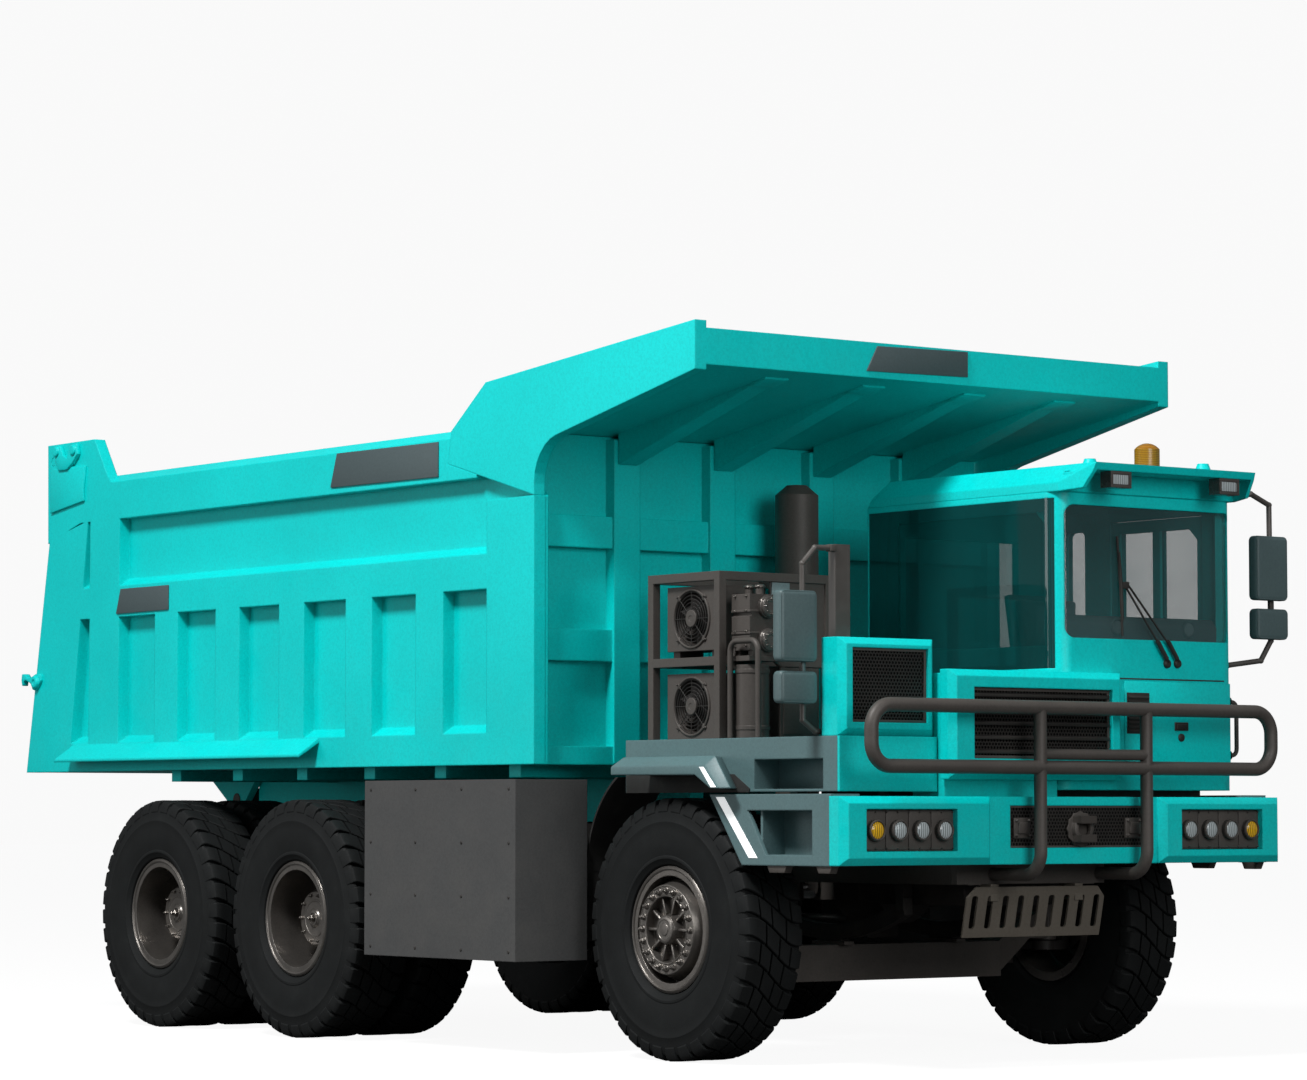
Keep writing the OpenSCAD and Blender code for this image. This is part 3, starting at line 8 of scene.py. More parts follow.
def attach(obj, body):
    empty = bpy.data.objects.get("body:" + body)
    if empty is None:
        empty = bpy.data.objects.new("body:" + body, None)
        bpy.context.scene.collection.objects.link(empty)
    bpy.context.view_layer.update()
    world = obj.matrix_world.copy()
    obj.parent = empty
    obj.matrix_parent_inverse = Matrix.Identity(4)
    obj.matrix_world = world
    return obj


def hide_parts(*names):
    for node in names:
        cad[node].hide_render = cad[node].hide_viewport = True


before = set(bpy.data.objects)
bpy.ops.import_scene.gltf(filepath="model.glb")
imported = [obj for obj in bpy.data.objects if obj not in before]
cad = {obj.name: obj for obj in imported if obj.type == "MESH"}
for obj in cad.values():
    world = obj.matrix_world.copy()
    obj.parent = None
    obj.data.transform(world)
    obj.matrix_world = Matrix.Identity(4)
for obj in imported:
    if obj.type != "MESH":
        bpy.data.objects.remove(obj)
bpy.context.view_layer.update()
frontAxle = 2.8  # x of the front axle in the part's frame
print("frame loaded,", len(cad), "nodes")


def at(x, y, z):
    return Vector((x / 1000 + frontAxle, y / 1000, z / 1000))  # millimetres, x from the front axle


# camera, floor and light
shot = {"place": (21.5179, -15.8461, 1.3957), "turn": 53.0, "rise": 3.8, "lens": 113.82, "sensor": 36.0}
studio = {
    "floorSize": 300.0,
    "paper": 0.98,
    "bounce": 0.10,
    "sky": 0.22,
    "key": {"place": (5.0, -13.0, 17.0), "aim": (0.0, 0.0, 2.0), "size": 4.0, "power": 4400},
    "front": {"place": (20.0, -3.0, 7.0), "aim": (2.0, 0.0, 1.8), "size": 8.0, "power": 1150},
    "side": {"place": (-9.0, -18.0, 5.0), "aim": (-2.0, 0.0, 2.0), "size": 8.0, "power": 600},
}


def aimed(place, aim):
    away = Vector(place) - Vector(aim)
    return Matrix.Translation(place) @ away.to_track_quat("Z", "Y").to_matrix().to_4x4()


def addSoftBox(name, setup):
    light = bpy.data.lights.new(name, "AREA")
    light.shape = "SQUARE"
    light.size = setup["size"]
    light.energy = setup["power"]
    holder = bpy.data.objects.new(name, light)
    holder.matrix_world = aimed(setup["place"], setup["aim"])
    bpy.context.scene.collection.objects.link(holder)


def addNode(tree, kind, settings=None, inputs=None):
    made = tree.nodes.new(kind)
    for key, value in (settings or {}).items():
        setattr(made, key, value)
    for key, value in (inputs or {}).items():
        if isinstance(value, bpy.types.NodeSocket):
            tree.links.new(value, made.inputs[key])
        else:
            made.inputs[key].default_value = value
    return made


def setFloor():
    half = studio["floorSize"] / 2
    mesh = bpy.data.meshes.new("floor")
    corners = [(-half, -half, 0), (half, -half, 0), (half, half, 0), (-half, half, 0)]
    mesh.from_pydata(corners, [], [(0, 1, 2, 3)])
    floor = bpy.data.objects.new("floor", mesh)
    bpy.context.scene.collection.objects.link(floor)
    paper = bpy.data.materials.new("floorPaper")
    paper.use_nodes = True
    tree = paper.node_tree
    tree.nodes.remove(tree.nodes["Principled BSDF"])
    shade = studio["bounce"]
    rays = addNode(tree, "ShaderNodeLightPath")
    matt = addNode(tree, "ShaderNodeBsdfDiffuse", None, {"Color": (shade, shade, shade, 1)})
    white = (studio["paper"],) * 3 + (1,)
    bright = addNode(tree, "ShaderNodeEmission", None, {"Color": white, "Strength": 0.95})
    seen = addNode(tree, "ShaderNodeAddShader", None, {0: matt.outputs[0], 1: bright.outputs[0]})
    mixed = addNode(tree, "ShaderNodeMixShader", None, {
        0: rays.outputs["Is Camera Ray"], 1: matt.outputs[0], 2: seen.outputs[0]})
    tree.links.new(mixed.outputs[0], tree.nodes["Material Output"].inputs["Surface"])
    mesh.materials.append(paper)


def setSky():
    world = bpy.data.worlds.new("studio")
    world.use_nodes = True
    tree = world.node_tree
    room = tree.nodes["Background"]
    room.inputs["Color"].default_value = (0.95, 0.98, 1.0, 1)
    room.inputs["Strength"].default_value = studio["sky"]
    white = (studio["paper"],) * 3 + (1,)
    wall = addNode(tree, "ShaderNodeBackground", None, {"Color": white, "Strength": 0.97})
    rays = addNode(tree, "ShaderNodeLightPath")
    mixed = addNode(tree, "ShaderNodeMixShader", None, {
        0: rays.outputs["Is Camera Ray"], 1: room.outputs[0], 2: wall.outputs[0]})
    tree.links.new(mixed.outputs[0], tree.nodes["World Output"].inputs["Surface"])
    bpy.context.scene.world = world


def setCamera():
    turn, rise = math.radians(shot["turn"]), math.radians(shot["rise"])
    look = Vector((-math.sin(turn) * math.cos(rise), math.cos(turn) * math.cos(rise), math.sin(rise)))
    lens = bpy.data.cameras.new("camera")
    lens.sensor_fit = "HORIZONTAL"
    lens.sensor_width = shot["sensor"]
    lens.lens = shot["lens"]
    lens.clip_end = 500.0
    camera = bpy.data.objects.new("camera", lens)
    place = Vector(shot["place"])
    camera.matrix_world = aimed(place, place + look)
    bpy.context.scene.collection.objects.link(camera)
    bpy.context.scene.camera = camera


setCamera()
setFloor()
setSky()
for softBox in ("key", "front", "side"):
    addSoftBox(softBox, studio[softBox])
bpy.context.scene.view_settings.view_transform = "Standard"
print("camera, floor and lights set")


# finishes
finishLooks = {
    "tealEnamel": {"colour": (0.0, 0.60, 0.585), "rough": 0.40, "metal": 0.0, "shine": 0.22, "dust": 0.05,
                   "edge": 0.012, "wearAndHighlight": 0.25},
    "bumperEnamel": {"colour": (0.0, 0.60, 0.585), "rough": 0.40, "metal": 0.0, "shine": 0.22, "dust": 0.05,
                     "edge": 0.012, "wearAndHighlight": 0.25,
                     "jaw": ((4.305, 4.60), (0.00, 0.22), (1.236, 1.392))},
    "greyEnamel": {"colour": (0.090, 0.162, 0.170), "rough": 0.45, "metal": 0.0, "shine": 0.35,
                   "dust": 0.10, "edge": 0.012, "wearAndHighlight": 0.20},
    "darkEnamel": {"colour": (0.070, 0.062, 0.056), "rough": 0.50, "metal": 0.1, "shine": 0.35,
                   "dust": 0.10, "edge": 0.006, "wearAndHighlight": 0.25},
    "boxGrey": {"colour": (0.066, 0.067, 0.067), "rough": 0.55, "metal": 0.1, "shine": 0.30, "dust": 0.08,
                "edge": 0.006, "wearAndHighlight": 0.20},
    "guardPlate": {"colour": (0.110, 0.096, 0.078), "rough": 0.50, "metal": 0.1, "shine": 0.35,
                   "dust": 0.12, "edge": 0.003, "wearAndHighlight": 0.25},
    "castIron": {"colour": (0.022, 0.020, 0.019), "rough": 0.55, "metal": 0.2, "shine": 0.30, "dust": 0.15,
                 "edge": 0.008, "wearAndHighlight": 0.10},
    "rimSteel": {"colour": (0.20, 0.185, 0.17), "rough": 0.30, "metal": 0.85, "shine": 0.50, "dust": 0.10,
                 "edge": 0.006, "wearAndHighlight": 0.10},
    "stageChrome": {"colour": (0.62, 0.62, 0.62), "rough": 0.12, "metal": 1.0, "shine": 0.50, "dust": 0.05,
                    "edge": 0.002, "wearAndHighlight": 0.0},
    "cabTrim": {"colour": (0.085, 0.140, 0.145), "rough": 0.60, "metal": 0.0, "shine": 0.30, "dust": 0.05,
                "edge": 0.006, "wearAndHighlight": 0.05},
    "mirrorCase": {"colour": (0.075, 0.120, 0.125), "rough": 0.42, "metal": 0.0, "shine": 0.45,
                   "dust": 0.06, "edge": 0.004, "wearAndHighlight": 0.05},
    "meshBlack": {"colour": (0.026, 0.024, 0.022), "rough": 0.50, "metal": 0.1, "shine": 0.35, "dust": 0.10,
                  "edge": 0.001, "wearAndHighlight": 0.05},
    "deepShade": {"colour": (0.006, 0.006, 0.006), "rough": 0.80, "metal": 0.0, "shine": 0.10, "dust": 0.05,
                  "edge": 0.001, "wearAndHighlight": 0.0},
    "plateGrey": {"colour": (0.060, 0.085, 0.090), "rough": 0.45, "metal": 0.0, "shine": 0.35, "dust": 0.08,
                  "edge": 0.003, "wearAndHighlight": 0.10},
    "paleCover": {"colour": (0.17, 0.24, 0.25), "rough": 0.50, "metal": 0.0, "shine": 0.35, "dust": 0.08,
                  "edge": 0.003, "wearAndHighlight": 0.05},
}
roadDust = (0.24, 0.215, 0.185, 1)


def tinted(colour, share):
    return tuple(min(1.0, part * share) for part in colour) + (1,)


def blended(tree, share, first, second):
    made = addNode(tree, "ShaderNodeMix", {"data_type": "RGBA"}, {0: share})
    for index, value in ((6, first), (7, second)):
        if isinstance(value, bpy.types.NodeSocket):
            tree.links.new(value, made.inputs[index])
        else:
            made.inputs[index].default_value = value
    return made.outputs[2]


def ranged(tree, value, low, high, toLow, toHigh):
    made = addNode(tree, "ShaderNodeMapRange", None, {
        "Value": value, "From Min": low, "From Max": high, "To Min": toLow, "To Max": toHigh})
    return made.outputs[0]


def calc(tree, operation, first, second):
    return addNode(tree, "ShaderNodeMath", {"operation": operation}, {0: first, 1: second}).outputs[0]


def product(tree, first, second):
    return calc(tree, "MULTIPLY", first, second)


def noise(tree, place, scale, detail, rough=0.5):
    made = addNode(tree, "ShaderNodeTexNoise", None, {
        "Vector": place, "Scale": scale, "Detail": detail, "Roughness": rough})
    return made.outputs["Fac"]


def larger(tree, first, second):
    return calc(tree, "MAXIMUM", first, second)


def newFinish(name):
    made = bpy.data.materials.new(name)
    made.use_nodes = True
    tree = made.node_tree
    place = addNode(tree, "ShaderNodeTexCoord").outputs["Object"]
    return made, tree, tree.nodes["Principled BSDF"], place


def boxMask(tree, place, box):
    axes = addNode(tree, "ShaderNodeSeparateXYZ", None, {0: place})
    share = 1.0
    for axis, (low, high) in zip("XYZ", box):
        share = product(tree, ranged(tree, axes.outputs[axis], low, low + 0.002, 0, 1), share)
        share = product(tree, ranged(tree, axes.outputs[axis], high, high - 0.002, 0, 1), share)
    return share


def makeEnamel(name, look):
    made, tree, shader, place = newFinish(name)
    broad = noise(tree, place, 0.8, 3)
    grain = noise(tree, place, 190, 2)
    fleck = noise(tree, place, 62, 3, 0.7)
    patch = noise(tree, place, 4.5, 7, 0.65)
    share = ranged(tree, broad, 0.35, 0.65, 0, 1)
    colour = blended(tree, share, tinted(look["colour"], 0.93), tinted(look["colour"], 1.06))
    colour = blended(tree, ranged(tree, grain, 0.45, 0.7, 0, 0.35), colour, tinted(look["colour"], 1.35))
    colour = blended(tree, ranged(tree, fleck, 0.42, 0.66, 0, 0.30), colour, tinted(look["colour"], 0.62))
    height = addNode(tree, "ShaderNodeSeparateXYZ", None, {0: place}).outputs["Z"]
    low = ranged(tree, height, 0.2, 2.6, 1, 0.15)
    dust = product(tree, ranged(tree, patch, 0.42, 0.72, 0, look["dust"]), low)
    colour = blended(tree, dust, colour, roadDust)
    rounded = addNode(tree, "ShaderNodeBevel", {"samples": 4}, {"Radius": look["edge"]})
    flat = addNode(tree, "ShaderNodeNewGeometry").outputs["Normal"]
    turned = addNode(tree, "ShaderNodeVectorMath", {"operation": "DOT_PRODUCT"},
                     {0: rounded.outputs[0], 1: flat})
    edge = ranged(tree, turned.outputs["Value"], 0.93, 0.75, 0, 1)
    # lighter edges: partly paint worn on the edges, partly a painted highlight along them
    edgeWearAndHighlight = product(tree, edge, ranged(tree, patch, 0.5, 0.62, 0, look["wearAndHighlight"]))
    colour = blended(tree, edgeWearAndHighlight, colour, tinted(look["colour"], 1.8))
    if "jaw" in look:
        dark = tinted(finishLooks["darkEnamel"]["colour"], 0.8)
        colour = blended(tree, boxMask(tree, place, look["jaw"]), colour, dark)
    tree.links.new(colour, shader.inputs["Base Color"])
    gloss = ranged(tree, patch, 0.3, 0.75, look["rough"] - 0.05, look["rough"] + 0.12)
    tree.links.new(gloss, shader.inputs["Roughness"])
    shader.inputs["Metallic"].default_value = look["metal"]
    shader.inputs["Specular IOR Level"].default_value = look["shine"]
    bump = addNode(tree, "ShaderNodeBump", None, {
        "Strength": 0.10, "Distance": 0.002, "Height": grain, "Normal": rounded.outputs[0]})
    tree.links.new(bump.outputs[0], shader.inputs["Normal"])
    return made


def makeRubber(name, colour, rough, dusty):
    made, tree, shader, place = newFinish(name)
    patch = noise(tree, place, 6, 6, 0.6)
    grain = noise(tree, place, 240, 3)
    tone = blended(tree, ranged(tree, patch, 0.35, 0.7, 0, 1), tinted(colour, 0.85), tinted(colour, 1.3))
    tone = blended(tree, ranged(tree, patch, 0.55, 0.8, 0, dusty), tone, roadDust)
    tree.links.new(tone, shader.inputs["Base Color"])
    tree.links.new(ranged(tree, grain, 0.3, 0.7, rough - 0.08, rough + 0.08), shader.inputs["Roughness"])
    shader.inputs["Specular IOR Level"].default_value = 0.25
    bump = addNode(tree, "ShaderNodeBump", None, {"Strength": 0.25, "Distance": 0.002, "Height": grain})
    tree.links.new(bump.outputs[0], shader.inputs["Normal"])
    return made


def makeGlass(name, colour, clear):
    made, tree, shader, place = newFinish(name)
    patch = noise(tree, place, 3, 5)
    tone = blended(tree, ranged(tree, patch, 0.4, 0.7, 0, 1), tinted(colour, 0.9), tinted(colour, 1.15))
    # painted shade: the side pane is darkened and made more opaque, most of all outside its window,
    # standing in for the shaded cab shell behind it
    inside = boxMask(tree, place, ((2.80, 4.08), (0.0, 0.2), (2.357, 3.121)))
    shadedPane = boxMask(tree, place, ((2.4, 4.3), (0.0, 0.100), (2.1, 3.3)))
    shadedBorder = product(tree, shadedPane, ranged(tree, inside, 0, 1, 1, 0))
    tone = blended(tree, shadedPane, tone, (0.004, 0.046, 0.046, 1))
    tree.links.new(tone, shader.inputs["Base Color"])
    tree.links.new(ranged(tree, patch, 0.4, 0.8, 0.03, 0.10), shader.inputs["Roughness"])
    see = ranged(tree, patch, 0.45, 0.8, clear, clear + 0.05)
    dim = larger(tree, see, product(tree, shadedPane, 0.60))
    dim = larger(tree, dim, product(tree, shadedBorder, 0.86))
    tree.links.new(dim, shader.inputs["Alpha"])
    return made


def makeLens(name, colour, glow):
    made, tree, shader, place = newFinish(name)
    flutes = addNode(tree, "ShaderNodeTexWave", {"bands_direction": "Y"},
                     {"Vector": place, "Scale": 22.0, "Distortion": 0.4})
    patch = noise(tree, place, 14, 4)
    share = ranged(tree, flutes.outputs["Fac"], 0.2, 0.9, 0, 1)
    tone = blended(tree, share, tinted(colour, 0.45), tinted(colour, 1.25))
    tone = blended(tree, ranged(tree, patch, 0.4, 0.8, 0, 0.25), tone, tinted(colour, 0.7))
    tree.links.new(tone, shader.inputs["Base Color"])
    tree.links.new(tone, shader.inputs["Emission Color"])
    shader.inputs["Emission Strength"].default_value = glow
    tree.links.new(ranged(tree, patch, 0.3, 0.8, 0.06, 0.18), shader.inputs["Roughness"])
    bump = addNode(tree, "ShaderNodeBump", None,
                   {"Strength": 0.3, "Distance": 0.002, "Height": flutes.outputs["Fac"]})
    tree.links.new(bump.outputs[0], shader.inputs["Normal"])
    return made


def makeBand(name, glow):
    made, tree, shader, place = newFinish(name)
    prisms = addNode(tree, "ShaderNodeTexVoronoi", None, {"Vector": place, "Scale": 160.0})
    patch = noise(tree, place, 5, 4)
    share = ranged(tree, patch, 0.45, 0.75, 0, 0.2)
    tone = blended(tree, share, (0.92, 0.94, 0.94, 1), (0.70, 0.73, 0.73, 1))
    tree.links.new(tone, shader.inputs["Base Color"])
    tree.links.new(tone, shader.inputs["Emission Color"])
    # painted light: the band glows, so it stays bright white where shade falls on it
    shader.inputs["Emission Strength"].default_value = glow
    tree.links.new(ranged(tree, patch, 0.3, 0.8, 0.25, 0.4), shader.inputs["Roughness"])
    bump = addNode(tree, "ShaderNodeBump", None, {
        "Strength": 0.2, "Distance": 0.001, "Height": prisms.outputs["Distance"]})
    tree.links.new(bump.outputs[0], shader.inputs["Normal"])
    return made


def makeLampParts(name):
    made, tree, shader, place = newFinish(name)
    axes = addNode(tree, "ShaderNodeSeparateXYZ", None, {0: place})
    patch = noise(tree, place, 12, 5)
    share = ranged(tree, patch, 0.4, 0.7, 0, 1)
    tone = blended(tree, share, (0.045, 0.041, 0.038, 1), (0.062, 0.056, 0.052, 1))
    dome = ranged(tree, axes.outputs["Z"], 3.449, 3.451, 0, 1)
    ridge = addNode(tree, "ShaderNodeTexWave", {"bands_direction": "Z"}, {"Vector": place, "Scale": 30.0})
    amber = blended(tree, ridge.outputs["Fac"], (0.22, 0.085, 0.006, 1), (0.42, 0.19, 0.012, 1))
    tone = blended(tree, dome, tone, amber)
    tail = ranged(tree, axes.outputs["X"], -3.40, -3.45, 0, 1)
    tone = blended(tree, tail, tone, (0.28, 0.012, 0.010, 1))
    tree.links.new(tone, shader.inputs["Base Color"])
    tree.links.new(ranged(tree, patch, 0.3, 0.8, 0.18, 0.38), shader.inputs["Roughness"])
    return made


def makeMirrorParts(name):
    made, tree, shader, place = newFinish(name)
    patch = noise(tree, place, 9, 5)
    right = boxMask(tree, place, ((3.9, 4.02), (-1.80, -1.518), (1.999, 2.622)))
    left = boxMask(tree, place, ((4.1, 4.21), (1.676, 1.95), (2.429, 3.046)))
    heads = larger(tree, right, left)
    share = ranged(tree, patch, 0.4, 0.7, 0, 1)
    dark = blended(tree, share, (0.062, 0.055, 0.050, 1), (0.076, 0.068, 0.062, 1))
    slate = blended(tree, share, (0.072, 0.115, 0.120, 1), (0.080, 0.128, 0.133, 1))
    tree.links.new(blended(tree, heads, dark, slate), shader.inputs["Base Color"])
    tree.links.new(ranged(tree, patch, 0.3, 0.8, 0.38, 0.52), shader.inputs["Roughness"])
    rounded = addNode(tree, "ShaderNodeBevel", {"samples": 4}, {"Radius": 0.006})
    tree.links.new(rounded.outputs[0], shader.inputs["Normal"])
    return made


def makeCloth(name, colour):
    made, tree, shader, place = newFinish(name)
    warp = addNode(tree, "ShaderNodeTexWave", {"bands_direction": "Y"},
                   {"Vector": place, "Scale": 160.0, "Distortion": 1.0})
    weft = addNode(tree, "ShaderNodeTexWave", {"bands_direction": "Z"},
                   {"Vector": place, "Scale": 160.0, "Distortion": 1.0})
    weave = product(tree, warp.outputs["Fac"], weft.outputs["Fac"])
    patch = noise(tree, place, 7, 4)
    tone = blended(tree, weave, tinted(colour, 0.7), tinted(colour, 1.35))
    tone = blended(tree, ranged(tree, patch, 0.45, 0.8, 0, 0.3), tone, tinted(colour, 0.8))
    tree.links.new(tone, shader.inputs["Base Color"])
    shader.inputs["Sheen Weight"].default_value = 0.3
    tree.links.new(ranged(tree, patch, 0.3, 0.8, 0.75, 0.9), shader.inputs["Roughness"])
    bump = addNode(tree, "ShaderNodeBump", None, {"Strength": 0.4, "Distance": 0.002, "Height": weave})
    tree.links.new(bump.outputs[0], shader.inputs["Normal"])
    return made


finishes = {name: makeEnamel(name, look) for name, look in finishLooks.items()}
finishes["tyreRubber"] = makeRubber("tyreRubber", (0.0048, 0.0058, 0.0060), 0.72, 0.012)
finishes["guardRubber"] = makeRubber("guardRubber", (0.024, 0.024, 0.023), 0.68, 0.08)
finishes["cabGlass"] = makeGlass("cabGlass", (0.045, 0.105, 0.110), 0.30)
finishes["lensClear"] = makeLens("lensClear", (0.40, 0.45, 0.46), 0.05)
finishes["lensAmber"] = makeLens("lensAmber", (0.62, 0.36, 0.015), 0.10)
# the white band's glow is painted light
finishes["whiteBand"] = makeBand("whiteBand", 0.45)
finishes["lampParts"] = makeLampParts("lampParts")
finishes["mirrorParts"] = makeMirrorParts("mirrorParts")
finishes["seatCloth"] = makeCloth("seatCloth", (0.10, 0.16, 0.17))
print("finishes made:", len(finishes))

nodeFinish = {
    "bumperEnamel": ["front_bumper"],
    "tealEnamel": ["front_cowls", "cab_shell", "cab_roof", "door_panel", "bed_floor",
                   "bed_side_right", "bed_side_left", "bed_front", "canopy", "tailgate"],
    "greyEnamel": ["deck", "fenders", "side_steps"],
    "boxGrey": ["side_boxes"],
    "darkEnamel": ["frame_rails", "bull_bar", "cooling_rack", "cooler_units", "pump_set", "hand_rails",
                   "hoist_cover", "grille_screens", "front_axle"],
    "guardPlate": ["belly_guard"],
    "castIron": ["rear_axles", "suspension", "engine", "knuckle_right", "knuckle_left", "tie_rod",
                 "fan_upper", "fan_lower"],
    "lampParts": ["lamps"],
    "mirrorParts": ["mirrors"],
    "stageChrome": ["hoist_base", "hoist_stage_lower", "hoist_stage_upper"],
    "tyreRubber": ["tyre_front_right", "tyre_front_left", "tyres_mid_right", "tyres_mid_left",
                   "tyres_rear_right", "tyres_rear_left"],
    "guardRubber": ["mud_guards"],
    "rimSteel": ["rim_front_right", "rim_front_left", "rims_mid_right", "rims_mid_left", "rims_rear_right",
                 "rims_rear_left"],
    "cabGlass": ["cab_glass", "door_glass"],
    "cabTrim": ["cab_interior"],
}
for finish, members in nodeFinish.items():
    for member in members:
        cad[member].data.materials.clear()
        cad[member].data.materials.append(finishes[finish])
print("nodes painted")


# mesh tools: a shape is a list of points and a list of faces
def joined(*shapes):
    points, faces = [], []
    for more, sides in shapes:
        start = len(points)
        points.extend(more)
        faces.extend([tuple(index + start for index in side) for side in sides])
    return points, faces


def moved(shape, matrix):
    return [matrix @ Vector(point) for point in shape[0]], shape[1]


def lathe(profile, steps, closed=False):
    points, faces = [], []
    count = len(profile)
    for step in range(steps):
        turn = 2 * math.pi * step / steps
        points.extend([Vector((r * math.cos(turn), r * math.sin(turn), z)) for r, z in profile])
    for step in range(steps):
        here, there = step * count, (step + 1) % steps * count
        for i in range(count if closed else count - 1):
            j = (i + 1) % count
            faces.append((here + i, there + i, there + j, here + j))
    return points, faces


def prism(loop, push):
    count = len(loop)
    points = [Vector(point) for point in loop] + [Vector(point) + Vector(push) for point in loop]
    faces = [tuple(range(count)), tuple(range(2 * count - 1, count - 1, -1))]
    faces += [(i, (i + 1) % count, count + (i + 1) % count, count + i) for i in range(count)]
    return points, faces


def meshFrom(shape, name="shape"):
    mesh = bpy.data.meshes.new(name)
    mesh.from_pydata([tuple(point) for point in shape[0]], [], shape[1])
    return mesh


def shapeFrom(bm):
    bm.verts.index_update()
    shape = [v.co.copy() for v in bm.verts], [tuple(v.index for v in f.verts) for f in bm.faces]
    bm.free()
    return shape


def softened(shape, cut, segments=2):
    bm = bmesh.new()
    bm.from_mesh(meshFrom(shape))
    bmesh.ops.recalc_face_normals(bm, faces=bm.faces)
    sharp = [e for e in bm.edges if len(e.link_faces) == 2 and e.calc_face_angle() > 0.4]
    bmesh.ops.bevel(bm, geom=sharp, offset=cut, segments=segments, profile=0.6, affect="EDGES",
                    clamp_overlap=True)
    return shapeFrom(bm)


def block(low, high, cut=0.003, segments=2):
    (x0, y0, z0), (x1, y1, z1) = low, high
    loop = [(x0, y0, z0), (x1, y0, z0), (x1, y1, z0), (x0, y1, z0)]
    return softened(prism(loop, (0, 0, z1 - z0)), cut, segments)


def tube(path, radius, sides=10, bend=0.0):
    path = [Vector(point) for point in path]
    line = [path[0]]
    for before, here, after in zip(path, path[1:], path[2:]):
        if bend:
            start = here + (before - here).normalized() * bend
            end = here + (after - here).normalized() * bend
            for step in range(7):
                share = step / 6
                line.append(start.lerp(here, share).lerp(here.lerp(end, share), share))
        else:
            line.append(here)
    line.append(path[-1])
    points, faces, across = [], [], None
    for i, spot in enumerate(line):
        ahead = (line[min(i + 1, len(line) - 1)] - line[max(i - 1, 0)]).normalized()
        across = ahead.orthogonal() if across is None else across - ahead * across.dot(ahead)
        across.normalize()
        other = ahead.cross(across)
        for side in range(sides):
            turn = 2 * math.pi * side / sides
            points.append(spot + (across * math.cos(turn) + other * math.sin(turn)) * radius)
    for i in range(len(line) - 1):
        for side in range(sides):
            nextSide = (side + 1) % sides
            faces.append((i * sides + side, i * sides + nextSide, (i + 1) * sides + nextSide,
                          (i + 1) * sides + side))
    last = (len(line) - 1) * sides
    faces += [tuple(range(sides))[::-1], tuple(range(last, last + sides))]
    return points, faces


def facing(spot, axis):
    return Matrix.Translation(spot) @ Vector(axis).to_track_quat("Z", "Y").to_matrix().to_4x4()


# turns a flat pattern's x to y and its y to z
toFront = Matrix(((0, 0, 1, 0), (1, 0, 0, 0), (0, 1, 0, 0), (0, 0, 0, 1)))


def turnedAt(profile, steps, spot, axis):
    return moved(lathe(profile, steps), facing(spot, axis))


def sidePlate(corners, side, thick, cut, segments=2):
    return softened(prism([at(x, side, z) for x, z in corners], (0, thick, 0)), cut, segments)


def frontPlate(corners, face, thick, cut):
    return softened(prism([at(face, y, z) for y, z in corners], (thick, 0, 0)), cut)


def mirrored(shape):
    return [Vector((p[0], -p[1], p[2])) for p in shape[0]], [face[::-1] for face in shape[1]]


def addPiece(name, body, finish, items, stands=(), sharp=32):
    bm = bmesh.new()
    for item in items:
        bm.from_mesh(item if isinstance(item, bpy.types.Mesh) else meshFrom(item))
    bmesh.ops.remove_doubles(bm, verts=bm.verts, dist=0.00002)
    bmesh.ops.dissolve_degenerate(bm, edges=bm.edges, dist=0.00002)
    bmesh.ops.recalc_face_normals(bm, faces=bm.faces)
    for face in bm.faces:
        face.material_index = 0
        face.smooth = True
    mesh = bpy.data.meshes.new(name)
    bm.to_mesh(mesh)
    bm.free()
    mesh.materials.clear()
    mesh.materials.append(finishes[finish])
    mesh.set_sharp_from_angle(angle=math.radians(sharp))
    piece = bpy.data.objects.new(name, mesh)
    bpy.context.scene.collection.objects.link(piece)
    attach(piece, body)
    if stands:
        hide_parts(*stands)
    return piece


# node trees for what repeats
def newTree(name, inputs):
    tree = bpy.data.node_groups.new(name, "GeometryNodeTree")
    for label, kind in inputs:
        tree.interface.new_socket(label, in_out="INPUT", socket_type=kind)
    tree.interface.new_socket("Geometry", in_out="OUTPUT", socket_type="NodeSocketGeometry")
    return tree


def endTree(tree, given, geometry):
    real = addNode(tree, "GeometryNodeRealizeInstances", None, {0: geometry})
    done = addNode(tree, "GeometryNodeSetMaterial", None, {
        "Geometry": real.outputs[0], "Material": given.outputs["Finish"]})
    out = addNode(tree, "NodeGroupOutput")
    tree.links.new(done.outputs[0], out.inputs[0])


def makeRingTree():
    tree = newTree("partsInRing",
                   [("Part", "NodeSocketObject"), ("Count", "NodeSocketInt"),
                    ("Finish", "NodeSocketMaterial")])
    given = addNode(tree, "NodeGroupInput")
    step = calc(tree, "DIVIDE", 2 * math.pi, given.outputs["Count"])
    turn = calc(tree, "MULTIPLY", addNode(tree, "GeometryNodeInputIndex").outputs[0], step)
    euler = addNode(tree, "ShaderNodeCombineXYZ", None, {"Z": turn})
    spin = addNode(tree, "FunctionNodeEulerToRotation", None, {0: euler.outputs[0]})
    points = addNode(tree, "GeometryNodePoints", None, {"Count": given.outputs["Count"]})
    part = addNode(tree, "GeometryNodeObjectInfo", None, {"Object": given.outputs["Part"]})
    placed = addNode(tree, "GeometryNodeInstanceOnPoints", None, {
        "Points": points.outputs[0], "Instance": part.outputs["Geometry"], "Rotation": spin.outputs[0]})
    endTree(tree, given, placed.outputs[0])
    return tree


